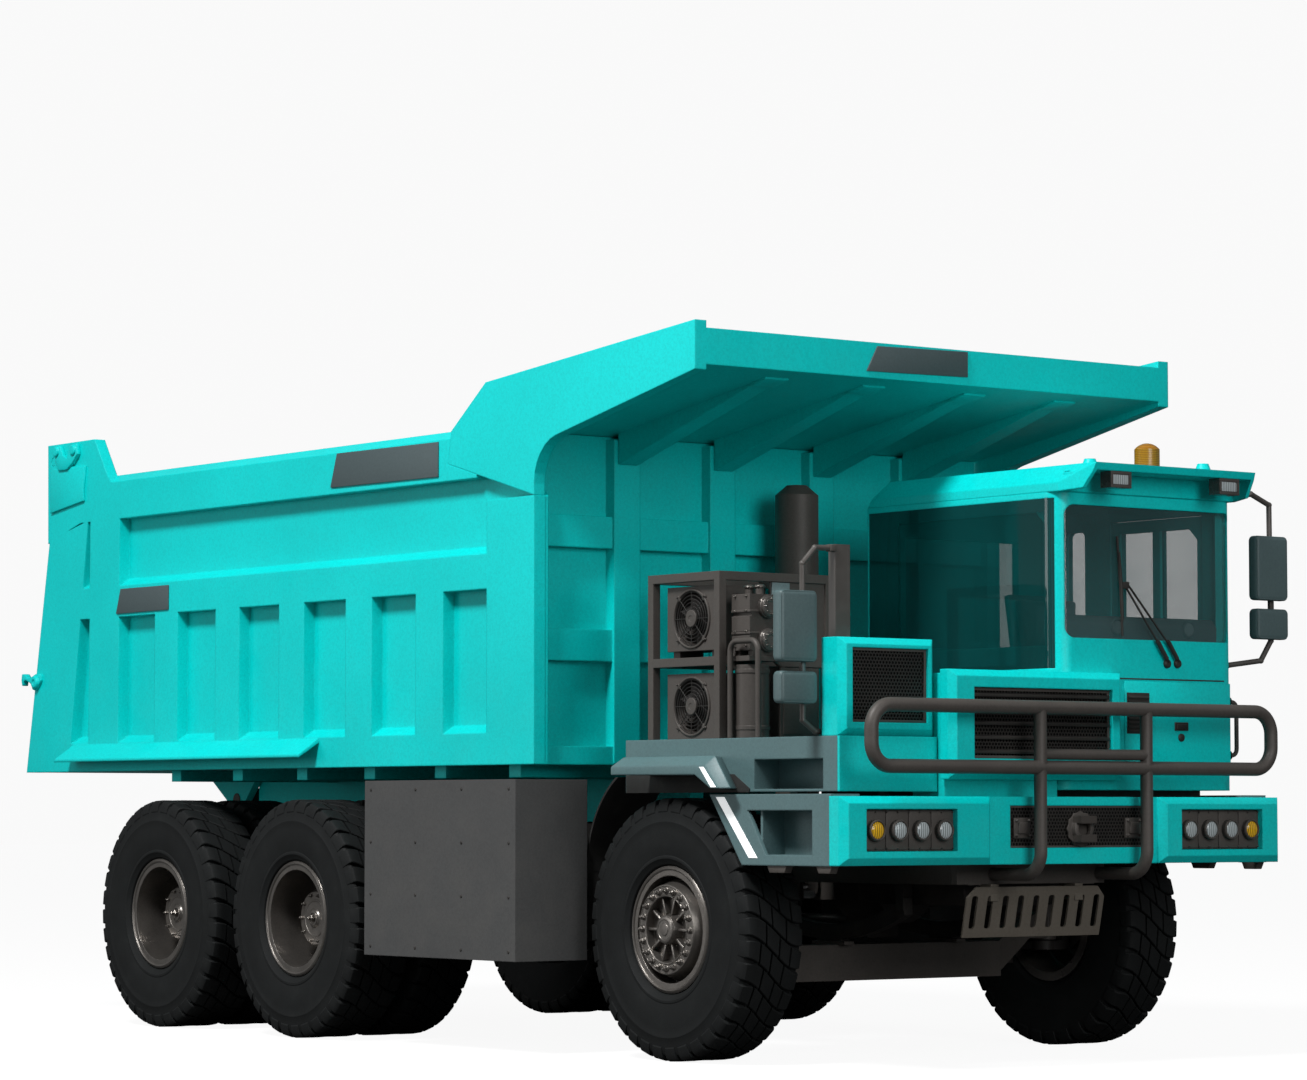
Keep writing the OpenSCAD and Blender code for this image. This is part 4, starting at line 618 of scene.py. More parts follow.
def makeGridTree():
    tree = newTree("partsInRows", [
        ("Part", "NodeSocketObject"), ("Columns", "NodeSocketInt"), ("Rows", "NodeSocketInt"),
        ("Across", "NodeSocketFloat"), ("Up", "NodeSocketFloat"), ("Shift", "NodeSocketFloat"),
        ("Finish", "NodeSocketMaterial")])
    given = addNode(tree, "NodeGroupInput")
    index = addNode(tree, "GeometryNodeInputIndex").outputs[0]
    column = calc(tree, "MODULO", index, given.outputs["Columns"])
    row = calc(tree, "FLOOR", calc(tree, "DIVIDE", index, given.outputs["Columns"]), 0)
    odd = calc(tree, "MODULO", row, 2)
    along = calc(tree, "ADD", calc(tree, "MULTIPLY", column, given.outputs["Across"]),
                 calc(tree, "MULTIPLY", odd, given.outputs["Shift"]))
    spot = addNode(tree, "ShaderNodeCombineXYZ", None, {
        "X": along, "Y": calc(tree, "MULTIPLY", row, given.outputs["Up"])})
    count = calc(tree, "MULTIPLY", given.outputs["Columns"], given.outputs["Rows"])
    points = addNode(tree, "GeometryNodePoints", None, {"Count": count, "Position": spot.outputs[0]})
    part = addNode(tree, "GeometryNodeObjectInfo", None, {"Object": given.outputs["Part"]})
    placed = addNode(tree, "GeometryNodeInstanceOnPoints", None, {
        "Points": points.outputs[0], "Instance": part.outputs["Geometry"]})
    endTree(tree, given, placed.outputs[0])
    return tree


def makeGuardTree():
    tree = newTree("wireGuard", [
        ("Rings", "NodeSocketInt"), ("First", "NodeSocketFloat"), ("Gap", "NodeSocketFloat"),
        ("Spokes", "NodeSocketInt"), ("Wire", "NodeSocketFloat"), ("Finish", "NodeSocketMaterial")])
    given = addNode(tree, "NodeGroupInput")
    index = addNode(tree, "GeometryNodeInputIndex").outputs[0]
    radius = calc(tree, "ADD", given.outputs["First"], calc(tree, "MULTIPLY", index, given.outputs["Gap"]))
    size = addNode(tree, "ShaderNodeCombineXYZ", None, {"X": radius, "Y": radius, "Z": radius})
    hoop = addNode(tree, "GeometryNodeCurvePrimitiveCircle", None, {"Resolution": 48, "Radius": 1.0})
    points = addNode(tree, "GeometryNodePoints", None, {"Count": given.outputs["Rings"]})
    hoops = addNode(tree, "GeometryNodeInstanceOnPoints", None, {
        "Points": points.outputs[0], "Instance": hoop.outputs[0], "Scale": size.outputs[0]})
    step = calc(tree, "DIVIDE", 2 * math.pi, given.outputs["Spokes"])
    euler = addNode(tree, "ShaderNodeCombineXYZ", None, {"Z": calc(tree, "MULTIPLY", index, step)})
    spin = addNode(tree, "FunctionNodeEulerToRotation", None, {0: euler.outputs[0]})
    reach = calc(tree, "ADD", given.outputs["First"], calc(
        tree, "MULTIPLY", given.outputs["Gap"], calc(tree, "SUBTRACT", given.outputs["Rings"], 1)))
    low = addNode(tree, "ShaderNodeCombineXYZ", None,
                  {"X": given.outputs["First"], "Z": given.outputs["Wire"]})
    high = addNode(tree, "ShaderNodeCombineXYZ", None, {"X": reach, "Z": given.outputs["Wire"]})
    bar = addNode(tree, "GeometryNodeCurvePrimitiveLine", None,
                  {"Start": low.outputs[0], "End": high.outputs[0]})
    more = addNode(tree, "GeometryNodePoints", None, {"Count": given.outputs["Spokes"]})
    bars = addNode(tree, "GeometryNodeInstanceOnPoints", None, {
        "Points": more.outputs[0], "Instance": bar.outputs[0], "Rotation": spin.outputs[0]})
    both = addNode(tree, "GeometryNodeJoinGeometry")
    tree.links.new(hoops.outputs[0], both.inputs[0])
    tree.links.new(bars.outputs[0], both.inputs[0])
    lines = addNode(tree, "GeometryNodeRealizeInstances", None, {0: both.outputs[0]})
    section = addNode(tree, "GeometryNodeCurvePrimitiveCircle", None,
                      {"Resolution": 6, "Radius": given.outputs["Wire"]})
    wires = addNode(tree, "GeometryNodeCurveToMesh", None, {
        "Curve": lines.outputs[0], "Profile Curve": section.outputs[0], "Fill Caps": True})
    endTree(tree, given, wires.outputs[0])
    return tree


trees = {"ring": makeRingTree(), "grid": makeGridTree(), "guard": makeGuardTree()}


def grown(kind, finish, values, part=None, matrix=None):
    values = dict(values, Finish=finishes[finish])
    seed = None
    if part:
        seed = bpy.data.objects.new("seed", meshFrom(part))
        bpy.context.scene.collection.objects.link(seed)
        values["Part"] = seed
    holder = bpy.data.objects.new("grower", bpy.data.meshes.new("grower"))
    bpy.context.scene.collection.objects.link(holder)
    maker = holder.modifiers.new("grower", "NODES")
    maker.node_group = trees[kind]
    for socket in trees[kind].interface.items_tree:
        if socket.in_out == "INPUT":
            maker[socket.identifier] = values[socket.name]
    graph = bpy.context.evaluated_depsgraph_get()
    mesh = bpy.data.meshes.new_from_object(holder.evaluated_get(graph), depsgraph=graph)
    holder.modifiers.remove(maker)
    bpy.data.objects.remove(holder)
    if seed:
        bpy.data.objects.remove(seed)
    if matrix:
        mesh.transform(matrix)
    return mesh


print("node trees made:", len(trees))

# tyres: a carcass with a ring of tread blocks, in place of each plain tyre
tyre = {
    "radius": 0.745, "pairs": 18, "groove": 0.013, "notch": 0.024, "depth": 0.026, "sweep": 0.10,
    "cross": 0.012, "cuts": ((-0.108, -0.026, 0.070), (-0.070, 0.026, 0.108)), "steps": 90,
    "crown": ((0.0, 0.745), (0.170, 0.7445), (0.186, 0.7390), (0.197, 0.7265), (0.2040, 0.702),
              (0.2085, 0.672)),
    "wall": ((0.3205, 0.158), (0.3625, 0.166), (0.3720, 0.188), (0.3945, 0.2005), (0.402, 0.2065),
             (0.414, 0.2065), (0.420, 0.2035), (0.46, 0.211), (0.5095, 0.2148), (0.56, 0.2148),
             (0.60, 0.2130), (0.604, 0.2142), (0.612, 0.2142), (0.616, 0.2118), (0.655, 0.2080),
             (0.690, 0.2010), (0.708, 0.193), (0.718, 0.180)),
    "inner": ((0.3205, 0.156), (0.3625, 0.1635), (0.3785, 0.1815), (0.3945, 0.1990), (0.46, 0.2070),
              (0.5095, 0.2135), (0.56, 0.2110), (0.60, 0.2088), (0.655, 0.2058), (0.690, 0.2000),
              (0.708, 0.193), (0.718, 0.180)),
}
wheels = {
    "wheel_front_right": {"spot": (0, -1445), "tyres": (0.0,), "tyreNode": "tyre_front_right",
                          "rimName": "frontRimRight"},
    "wheel_front_left": {"spot": (0, 1445), "tyres": (0.0,), "tyreNode": "tyre_front_left",
                         "rimName": "frontRimLeft"},
    "wheels_mid_right": {"spot": (-3393, -1560), "tyres": (-0.25, 0.25), "tyreNode": "tyres_mid_right",
                         "rimName": "midRimRight"},
    "wheels_mid_left": {"spot": (-3393, 1560), "tyres": (-0.25, 0.25), "tyreNode": "tyres_mid_left",
                        "rimName": "midRimLeft"},
    "wheels_rear_right": {"spot": (-5079, -1560), "tyres": (-0.25, 0.25), "tyreNode": "tyres_rear_right",
                          "rimName": "rearRimRight"},
    "wheels_rear_left": {"spot": (-5079, 1560), "tyres": (-0.25, 0.25), "tyreNode": "tyres_rear_left",
                         "rimName": "rearRimLeft"},
}


def crownAt(side):
    reach = abs(side)
    for (v0, r0), (v1, r1) in zip(tyre["crown"], tyre["crown"][1:]):
        if reach <= v1:
            return r0 + (r1 - r0) * (reach - v0) / (v1 - v0)
    return tyre["crown"][-1][1]


def treadBlock(first, last, centre):
    inner = [v for v, r in tyre["crown"][1:]] + [0.035, 0.07, 0.105, 0.14]
    marks = sorted([0.0] + inner + [-v for v in inner])
    sides = [first] + [v for v in marks if first + 0.004 < v < last - 0.004] + [last]
    pitch = math.pi * tyre["radius"] / tyre["pairs"]
    points, faces = [], []
    for v in sides:
        half = (pitch - tyre["groove"] - tyre["notch"] * max(0, abs(v) - 0.10) / 0.10) / 2
        lean = tyre["sweep"] * math.sin(math.pi / 2 * max(-1, min(1, v / 0.19))) / tyre["radius"]
        r = crownAt(v)
        deep = (r - tyre["depth"], v * 0.955)
        for share, (rHere, vHere) in ((-1.06, deep), (-1, (r - 0.004, v)), (-0.9, (r, v)), (0.9, (r, v)),
                                      (1, (r - 0.004, v)), (1.06, deep)):
            turn = centre + lean + share * half / tyre["radius"]
            points.append(Vector((rHere * math.cos(turn), rHere * math.sin(turn), vHere)))
    for i in range(len(sides) - 1):
        for j in range(6):
            k = (j + 1) % 6
            faces.append((i * 6 + j, i * 6 + k, i * 6 + 6 + k, i * 6 + 6 + j))
    end = (len(sides) - 1) * 6
    faces += [(0, 1, 2, 3, 4, 5), (end + 5, end + 4, end + 3, end + 2, end + 1, end)]
    return points, faces


def treadPair():
    blocks = []
    for row, cuts in enumerate(tyre["cuts"]):
        centre = (row - 0.5) * math.pi / tyre["pairs"]
        half = tyre["cross"] / 2
        edges = [-0.2085] + [edge for cut in cuts for edge in (cut - half, cut + half)] + [0.2085]
        blocks += [treadBlock(edges[i], edges[i + 1], centre) for i in range(0, len(edges), 2)]
    return joined(*blocks)


def outward(x, y):
    return Matrix.Translation(at(x, y, 745)) @ Matrix.Rotation(math.radians(90 if y < 0 else -90), 4, "X")


def addTyres():
    wall = list(tyre["wall"])
    top = [(0.7205, 0.15), (0.721, 0.05), (0.721, -0.05), (0.7205, -0.15)]
    profile = wall + top + [(r, -v) for r, v in tyre["inner"][::-1]]
    carcass = lathe(profile, tyre["steps"], closed=True)
    pair = treadPair()
    for body, wheel in wheels.items():
        items = []
        for shift in wheel["tyres"]:
            place = outward(*wheel["spot"]) @ Matrix.Translation((0, 0, shift))
            items.append(moved(carcass, place))
            items.append(grown("ring", "tyreRubber", {"Count": tyre["pairs"]}, pair, place))
        addPiece(wheel["tyreNode"] + "_tread", body, "tyreRubber", items, [wheel["tyreNode"]],
                 sharp=26)


addTyres()
print("tyres made")

# wheel fittings: studs, ribs, lock rings and hub caps
rimFittings = {"studs": 20, "studRing": 0.221, "ribs": 10, "rearBolts": 10, "rearRing": 0.148}


def nut(size):
    profile = [(0, 0), (size, 0), (size, 0.9 * size), (0.85 * size, 1.1 * size), (0.55 * size, 1.1 * size),
               (0.55 * size, 1.8 * size), (0.4 * size, 2.0 * size), (0, 2.0 * size)]
    return lathe(profile, 6)


def lockRing(plane):
    section = [(0.334, plane - 0.004), (0.337, plane + 0.005), (0.345, plane + 0.009),
               (0.353, plane + 0.005), (0.3575, plane + 0.001), (0.356, plane - 0.006),
               (0.340, plane - 0.008)]
    return lathe(section, 72, closed=True)


def addRimFittings():
    fit = rimFittings
    stud = moved(joined(nut(0.0165),
                        lathe([(0, -0.002), (0.022, -0.002), (0.021, 0.004), (0.0165, 0.005)], 12)),
                 Matrix.Translation((fit["studRing"], 0, 0.2055)))
    rib = block((0.090, -0.008, 0.152), (0.186, 0.008, 0.192), 0.004)
    cap = lathe([(0.078, 0.209), (0.076, 0.219), (0.070, 0.222), (0.058, 0.222), (0.055, 0.219),
                 (0.036, 0.219), (0.033, 0.223), (0.0, 0.2245)], 48)
    lip = lathe([(0.186, 0.203), (0.188, 0.210), (0.194, 0.211), (0.199, 0.2045)], 60)
    edge = lathe([(0.243, 0.203), (0.247, 0.209), (0.253, 0.208), (0.257, 0.199)], 72)
    bolt = moved(nut(0.012), Matrix.Translation((fit["rearRing"], 0, 0.2895)))
    hub = lathe([(0.120, 0.289), (0.118, 0.294), (0.108, 0.294), (0.106, 0.2915), (0.066, 0.2915)], 60)
    plug = moved(nut(0.024), Matrix.Translation((0, 0, 0.300)))
    boss = lathe([(0.048, 0.299), (0.046, 0.306), (0.034, 0.307), (0.030, 0.3015)], 40)
    for body, wheel in wheels.items():
        place = outward(*wheel["spot"])
        if len(wheel["tyres"]) == 1:
            items = [moved(shape, place) for shape in (lockRing(0.180), cap, lip, edge)]
            items.append(grown("ring", "rimSteel", {"Count": fit["studs"]}, stud, place))
            items.append(grown("ring", "rimSteel", {"Count": fit["ribs"]}, rib, place))
        else:
            items = [moved(shape, place) for shape in (lockRing(0.430), hub, plug, boss)]
            items.append(grown("ring", "rimSteel", {"Count": fit["rearBolts"]}, bolt, place))
        addPiece(wheel["rimName"] + "_fittings", body, "rimSteel", items)


addRimFittings()
print("wheel fittings made")

# screens: honeycomb sheets in the cowl, the grille and the bumper
screens = {
    "cellWidth": 0.0225, "wire": 0.0030, "thick": 0.004,
    "cowl": {"y": (-1396, -851), "z": (1900, 2309), "x": 1322, "back": 1301, "rim": 16},
    "grille": {"y": (-645, 403), "z": (1706, 2102), "x": 1462, "back": 1441, "rim": 18},
    "bumper": {"y": (-420, 640), "z": (1210, 1445), "x": 1522, "back": 1511, "rim": 12},
}
grilleBars = {"count": 5, "height": 0.024}


def honeycombCell():
    wide = screens["cellWidth"] / math.sqrt(3)
    narrow = wide - screens["wire"] / math.sqrt(3) * 2
    points, faces = [], []
    for radius, depth in ((wide, 0), (narrow, 0), (narrow, -screens["thick"]), (wide, -screens["thick"])):
        for i in range(6):
            turn = math.pi / 6 + math.pi / 3 * i
            points.append(Vector((radius * math.cos(turn), radius * math.sin(turn), depth)))
    for ring in range(3):
        for i in range(6):
            j = (i + 1) % 6
            faces.append((ring * 6 + i, ring * 6 + j, ring * 6 + 6 + j, ring * 6 + 6 + i))
    return points, faces


def rimAround(setup, front, thick):
    (y0, y1), (z0, z1), wide = setup["y"], setup["z"], setup["rim"]
    x0, x1 = front, front + thick
    bars = [((x0, y0, z0), (x1, y1, z0 + wide)), ((x0, y0, z1 - wide), (x1, y1, z1)),
            ((x0, y0, z0 + wide), (x1, y0 + wide, z1 - wide)),
            ((x0, y1 - wide, z0 + wide), (x1, y1, z1 - wide))]
    return [block(at(*low), at(*high), 0.003) for low, high in bars]


def screenItems(setup):
    width, up = screens["cellWidth"], screens["cellWidth"] / math.sqrt(3) * 1.5
    wide, tall = (setup["y"][1] - setup["y"][0]) / 1000, (setup["z"][1] - setup["z"][0]) / 1000
    columns, rows = int((wide - 0.5 * width - 0.006) / width), int((tall - 0.012) / up)
    low = at(setup["x"], setup["y"][0], setup["z"][0])
    spare = Vector((0, (wide - (columns - 0.5) * width) / 2, (tall - (rows - 1) * up) / 2))
    values = {"Columns": columns, "Rows": rows, "Across": width, "Up": up, "Shift": width / 2}
    return [grown("grid", "meshBlack", values, honeycombCell(), Matrix.Translation(low + spare) @ toFront)]


def addScreens():
    items, frames, shadeBacks = [], [], []
    for name in ("cowl", "grille", "bumper"):
        setup = screens[name]
        items += screenItems(setup)
        frames += rimAround(setup, setup["x"] - 2, 12)
        (y0, y1), (z0, z1) = setup["y"], setup["z"]
        # painted shade: near-black plates behind the screens stand in for the shade in the space behind
        # them
        shadeBacks.append(block(at(setup["back"], y0 + 3, z0 + 3), at(setup["back"] + 4, y1 - 3, z1 - 3), 0.001))
    grille = screens["grille"]
    (y0, y1), (z0, z1) = grille["y"], grille["z"]
    for i in range(grilleBars["count"]):
        mid = z0 + (z1 - z0) * (i + 0.5) / grilleBars["count"]
        half = grilleBars["height"] * 500
        slope = [at(1466, y0 + 8, mid - half), at(1482, y0 + 8, mid - half),
                 at(1484, y0 + 8, mid + half * 0.4), at(1466, y0 + 8, mid + half)]
        items.append(softened(prism(slope, (0, (y1 - y0 - 16) / 1000, 0)), 0.002))
    addPiece("meshScreens", "chassis", "meshBlack", items, ["grille_screens"])
    addPiece("screenFrames", "chassis", "darkEnamel", frames)
    addPiece("screenBacks", "chassis", "deepShade", shadeBacks)


addScreens()
print("screens made")

# fans: wire guards, rings and bosses on the cooler units
fanGuard = {"rings": 6, "first": 0.052, "gap": 0.0205, "spokes": 8, "wire": 0.0024, "plate": -1436.5}


def addFanGuards():
    wires, plates = [], []
    for height in (2012.5, 2515):
        place = facing(at(-40, fanGuard["plate"], height), (0, -1, 0))
        values = {"Rings": fanGuard["rings"], "First": fanGuard["first"], "Gap": fanGuard["gap"],
                  "Spokes": fanGuard["spokes"], "Wire": fanGuard["wire"]}
        wires.append(grown("guard", "meshBlack", values, None, place))
        ring = lathe([(0.158, -0.002), (0.160, 0.007), (0.166, 0.009), (0.172, 0.006), (0.174, -0.002)], 64)
        boss = lathe([(0.050, -0.003), (0.050, 0.007), (0.046, 0.010), (0.018, 0.0105), (0.016, 0.008),
                      (0.0, 0.008)], 40)
        plates += [moved(ring, place), moved(boss, place)]
        foot = block((0.150, -0.012, -0.001), (0.184, 0.012, 0.006), 0.003)
        bolt = moved(nut(0.006), Matrix.Translation((0.176, 0, 0.006)))
        lug = moved(joined(foot, bolt), Matrix.Rotation(math.radians(45), 4, "Z"))
        plates.append(grown("ring", "darkEnamel", {"Count": 4}, lug, place))
    addPiece("fanGuards", "chassis", "meshBlack", wires)
    addPiece("fanPlates", "chassis", "darkEnamel", plates)


addFanGuards()
print("fan guards made")

# lamps: bezels, lenses and bolts on the clusters, frames on the work lamps
lampSet = {"pitchY": (933, 1095, 1258, 1420), "height": 1310, "face": 1582, "lens": 0.047, "bolts": 9}
workLamps = {"y": (360, 1220), "z": (3247, 3342), "face": 1620, "half": 80}


def lensDome(radius):
    return lathe([(radius, -0.006), (radius, 0.0), (0.9 * radius, 0.005), (0.66 * radius, 0.009),
                  (0.34 * radius, 0.0115), (0.0, 0.0122)], 32)


def bezelRing(radius):
    return lathe([(radius - 0.001, -0.002), (radius, 0.008), (radius + 0.005, 0.010),
                  (radius + 0.010, 0.006), (radius + 0.012, -0.002)], 40)


def addLamps():
    clear, amber, trim = [], [], []
    for side in (-1, 1):
        for i, y in enumerate(lampSet["pitchY"]):
            place = facing(at(lampSet["face"], side * y, lampSet["height"]), (1, 0, 0))
            lens = moved(lensDome(lampSet["lens"]), place)
            (amber if i == 3 else clear).append(lens)
            trim.append(moved(bezelRing(lampSet["lens"]), place))
            guard = block(at(1550, side * y - 79, 1204), at(1556, side * y + 79, 1416), 0.004)
            trim.append(guard)
        low = at(1549, side * (1495 if side < 0 else 858), 1206)
        step = (1495 - 858) / 1000 / (lampSet["bolts"] - 1)
        spot = Matrix.Translation(low + Vector((0.006, 0.004, 0.006))) @ toFront
        values = {"Columns": lampSet["bolts"], "Rows": 2, "Across": step * 0.988, "Up": 0.196, "Shift": 0.0}
        trim.append(grown("grid", "darkEnamel", values, nut(0.0055), spot))
    for y in workLamps["y"]:
        z0, z1 = workLamps["z"]
        x, half = workLamps["face"], workLamps["half"]
        clear.append(block(at(x - 2, y - half + 20, z0 + 20), at(x + 5, y + half - 20, z1 - 20), 0.004))
        for low, high in (((y - half, z0), (y + half, z0 + 18)), ((y - half, z1 - 18), (y + half, z1)),
                          ((y - half, z0 + 18), (y - half + 18, z1 - 18)),
                          ((y + half - 18, z0 + 18), (y + half, z1 - 18))):
            trim.append(block(at(x - 3, *low), at(x + 9, *high), 0.003))
    for y in (-300, 300):
        amber.append(block(at(-6456, y - 75, 1130), at(-6448, y - 5, 1220), 0.003))
    addPiece("lampLenses", "chassis", "lensClear", clear)
    addPiece("amberLenses", "chassis", "lensAmber", amber)
    addPiece("lampTrim", "chassis", "darkEnamel", trim)


addLamps()
print("lamps dressed")

# mirrors: rounded cases over the heads, with glass on their backs
mirrorHeads = {"right": (1127, 1203, -1779, -1521, ((2000, 2177), (2228, 2619))),
               "left": (1317, 1393, 1678, 1936, ((2430, 2612), (2661, 3044)))}


def addMirrors():
    cases, glass = [], []
    for x0, x1, y0, y1, heights in mirrorHeads.values():
        for z0, z1 in heights:
            cases.append(block(at(x0, y0, z0), at(x1, y1, z1), 0.026, 4))
            glass.append(block(at(x0 - 3, y0 + 26, z0 + 26), at(x0 + 3, y1 - 26, z1 - 26), 0.002))
    clamps = [block(at(1128, -1595, 2176), at(1152, -1563, 2230), 0.006),
              block(at(1322, 1830, 2610), at(1346, 1864, 2663), 0.006),
              block(at(1118, -1395, 1829), at(1166, -1352, 1864), 0.005),
              block(at(1118, -1395, 2843), at(1166, -1352, 2882), 0.005)]
    addPiece("mirrorCases", "chassis", "mirrorCase", cases, sharp=60)
    addPiece("mirrorGlass", "chassis", "stageChrome", glass)
    addPiece("mirrorClamps", "chassis", "darkEnamel", clamps)


addMirrors()
print("mirrors dressed")

# fenders: bevelled slabs over the front wheels, with a steep front end
fenderSlab = {
    "face": ((-358, 1620), (428, 1616), (569, 1540), (640, 1540), (518, 1668), (-358, 1668)),
    "bevel": ((-358, 1620), (428, 1616), (569, 1540), (704, 1540), (562, 1722), (-296, 1722)),
    "root": ((-358, 1620), (178, 1616), (319, 1540), (444, 1540), (302, 1722), (-296, 1722)),
    "sides": (1780, 1735, 1489), "edge": 0.007,
    "shadeLiner": ((-590, 1519), (560, 1519), (566, 1540), (425, 1622), (-590, 1622)), "shadeLinerSide": 1491,
}


def addFenders():
    points, faces = [], []
    rings = (fenderSlab["face"], fenderSlab["bevel"], fenderSlab["root"])
    for ring, side in zip(rings, fenderSlab["sides"]):
        points += [at(x, -side, z) for x, z in ring]
    for i in range(2):
        for j in range(6):
            k = (j + 1) % 6
            faces.append((i * 6 + j, i * 6 + k, i * 6 + 6 + k, i * 6 + 6 + j))
    faces += [(0, 1, 2, 3, 4, 5), (17, 16, 15, 14, 13, 12)]
    slab = softened((points, faces), fenderSlab["edge"], 3)
    addPiece("fenderSlabs", "chassis", "greyEnamel", [slab, mirrored(slab)], ["fenders"])
    # painted shade: a dark rubber liner under the fender's arch, standing in for the shade under it
    shadeLiner = sidePlate(fenderSlab["shadeLiner"], -fenderSlab["shadeLinerSide"], -0.006, 0.002)
    addPiece("archLiner", "chassis", "guardRubber", [shadeLiner])


addFenders()
print("fenders made")

# white reflecting bands on the fenders' slanted ends and the step panels, made bright by a painted glow in
# their finish
bands = {"fender": ((474, 1660), (514, 1660), (628, 1546), (580, 1546)), "fenderSide": 1780,
         "step": ((459, 1493), (536, 1493), (832, 1156), (754, 1156)), "stepSide": 1650, "thick": 0.0025}


def addBands():
    items = []
    for corners, side in ((bands["fender"], bands["fenderSide"]), (bands["step"], bands["stepSide"])):
        band = sidePlate(corners, -side, -bands["thick"], 0.0008, 1)
        items += [band, mirrored(band)]
    addPiece("whiteBands", "chassis", "whiteBand", items)


addBands()
print("white bands made")

# blank plates on the body's rails and on the canopy's lip
plates = {"rail": ((-3262, 3452), (-2052, 3442), (-2052, 3655), (-3188, 3664)),
          "mid": ((-5965, 2760), (-5268, 2762), (-5268, 2927), (-5905, 2928)), "side": 1827,
          "lip": ((-582, 3950), (192, 3962), (192, 4112), (-500, 4100)), "lipFront": 500, "thick": 0.010}


def addPlates():
    items = []
    for corners in (plates["rail"], plates["mid"]):
        plate = sidePlate(corners, -plates["side"], -plates["thick"], 0.003)
        items += [plate, mirrored(plate)]
    items.append(frontPlate(plates["lip"], plates["lipFront"], plates["thick"], 0.003))
    addPiece("blankPlates", "dump_bed", "plateGrey", items)


addPlates()
print("plates made")

# tail: hinge links at the ears and the gate's lock hooks
tail = {
    "plate": ((-6890, 3500), (-6420, 3560), (-6426, 3636), (-6402, 3800), (-6620, 3812), (-6890, 3800)),
    "link": ((-6826, 3962), (-6740, 3968), (-6700, 3900), (-6640, 3868), (-6590, 3960), (-6500, 3966),
             (-6488, 3890), (-6560, 3830), (-6640, 3790), (-6760, 3790), (-6800, 3860)),
    "pins": ((-6783, 3926), (-6544, 3922)), "side": 1827,
    "hook": ((-7000, 2376), (-7080, 2380), (-7150, 2356), (-7200, 2356), (-7236, 2384), (-7276, 2384),
             (-7284, 2344), (-7274, 2302), (-7256, 2300), (-7250, 2330), (-7225, 2340), (-7180, 2326),
             (-7142, 2310), (-7122, 2272), (-7086, 2262), (-7040, 2290), (-7000, 2330)),
    "hookPin": (-7072, 2322),
}


def addTail():
    side = tail["side"]
    items = [sidePlate(tail["plate"], -side + 1, -0.017, 0.004),
             sidePlate(tail["link"], -side + 1, -0.031, 0.006),
             sidePlate(tail["hook"], -side + 24, -0.042, 0.006)]
    for x, z in tail["pins"]:
        items.append(turnedAt([(0.036, -0.004), (0.036, 0.010), (0.030, 0.015), (0.0, 0.016)], 28,
                              at(x, -side - 30, z), (0, -1, 0)))
    x, z = tail["hookPin"]
    items.append(turnedAt([(0.044, -0.004), (0.044, 0.012), (0.036, 0.020), (0.018, 0.021), (0.016, 0.016),
                           (0.0, 0.016)], 28, at(x, -side - 18, z), (0, -1, 0)))
    addPiece("tailFittings", "dump_bed", "tealEnamel",
             items + [mirrored(item) for item in items])


addTail()
print("tail dressed")

# pads under the ends of the canopy's beams
canopyPads = {"y": (-1115, -390, 390, 1115), "x": (215, 345), "drop": (22, 10), "half": 85,
              "wall": (-1201, 3655), "lip": (500, 3913)}


def underCanopy(x):
    (x0, z0), (x1, z1) = canopyPads["wall"], canopyPads["lip"]
    return z0 + (x - x0) * (z1 - z0) / (x1 - x0)


def addCanopyPads():
    items = []
    (x0, x1), (low0, low1) = canopyPads["x"], canopyPads["drop"]
    back, front = underCanopy(x0), underCanopy(x1)
    section = ((x0, back - low0), (x1, front - low1), (x1, front + 3), (x0, back + 3))
    for y in canopyPads["y"]:
        loop = [at(x, y - canopyPads["half"], z) for x, z in section]
        items.append(softened(prism(loop, (0, canopyPads["half"] / 500, 0)), 0.003))
    addPiece("canopyPads", "dump_bed", "tealEnamel", items)


addCanopyPads()
print("canopy pads made")

# rivets on the side boxes
rivets = {"columns": 4, "rows": 4, "x": (-2440, -980), "z": (600, 1545), "side": 2055, "size": 0.010}


def addRivets():
    head = lathe([(rivets["size"], -0.001), (rivets["size"], 0.002), (0.7 * rivets["size"], 0.0045),
                  (0.0, 0.005)], 10)
    across = (rivets["x"][1] - rivets["x"][0]) / 1000 / (rivets["columns"] - 1)
    up = (rivets["z"][1] - rivets["z"][0]) / 1000 / (rivets["rows"] - 1)
    values = {"Columns": rivets["columns"], "Rows": rivets["rows"], "Across": across, "Up": up,
              "Shift": 0.0}
    x, side, (z0, z1) = rivets["x"][0], rivets["side"], rivets["z"]
    right = Matrix.Translation(at(x, -side, z0)) @ Matrix.Rotation(math.radians(90), 4, "X")
    left = Matrix.Translation(at(x, side, z1)) @ Matrix.Rotation(math.radians(-90), 4, "X")
    items = [grown("grid", "meshBlack", values, head, place) for place in (right, left)]
    addPiece("boxRivets", "chassis", "meshBlack", items)


addRivets()
print("rivets made")

# cab front: raised lower panel, gusset under the visor, latch, louvre, wiper and handles
cabFront = {"face": 1400, "panel": ((585, 1640), (1432, 1640), (1432, 2160), (585, 2160)),
            "louvre": (600, 779, 1858, 2095),
            "seam": ((540, 2170), (1385, 2170), (1385, 2178), (540, 2178)),
            "slats": 9, "latch": (977, 1084, 1879, 1929), "lock": (1030, 1840)}
wiper = {"feet": ((923, 2266), (1006, 2268)), "top": ((585, 2705), (603, 2718)),
         "blade": ((534, 2990), (572, 2416))}


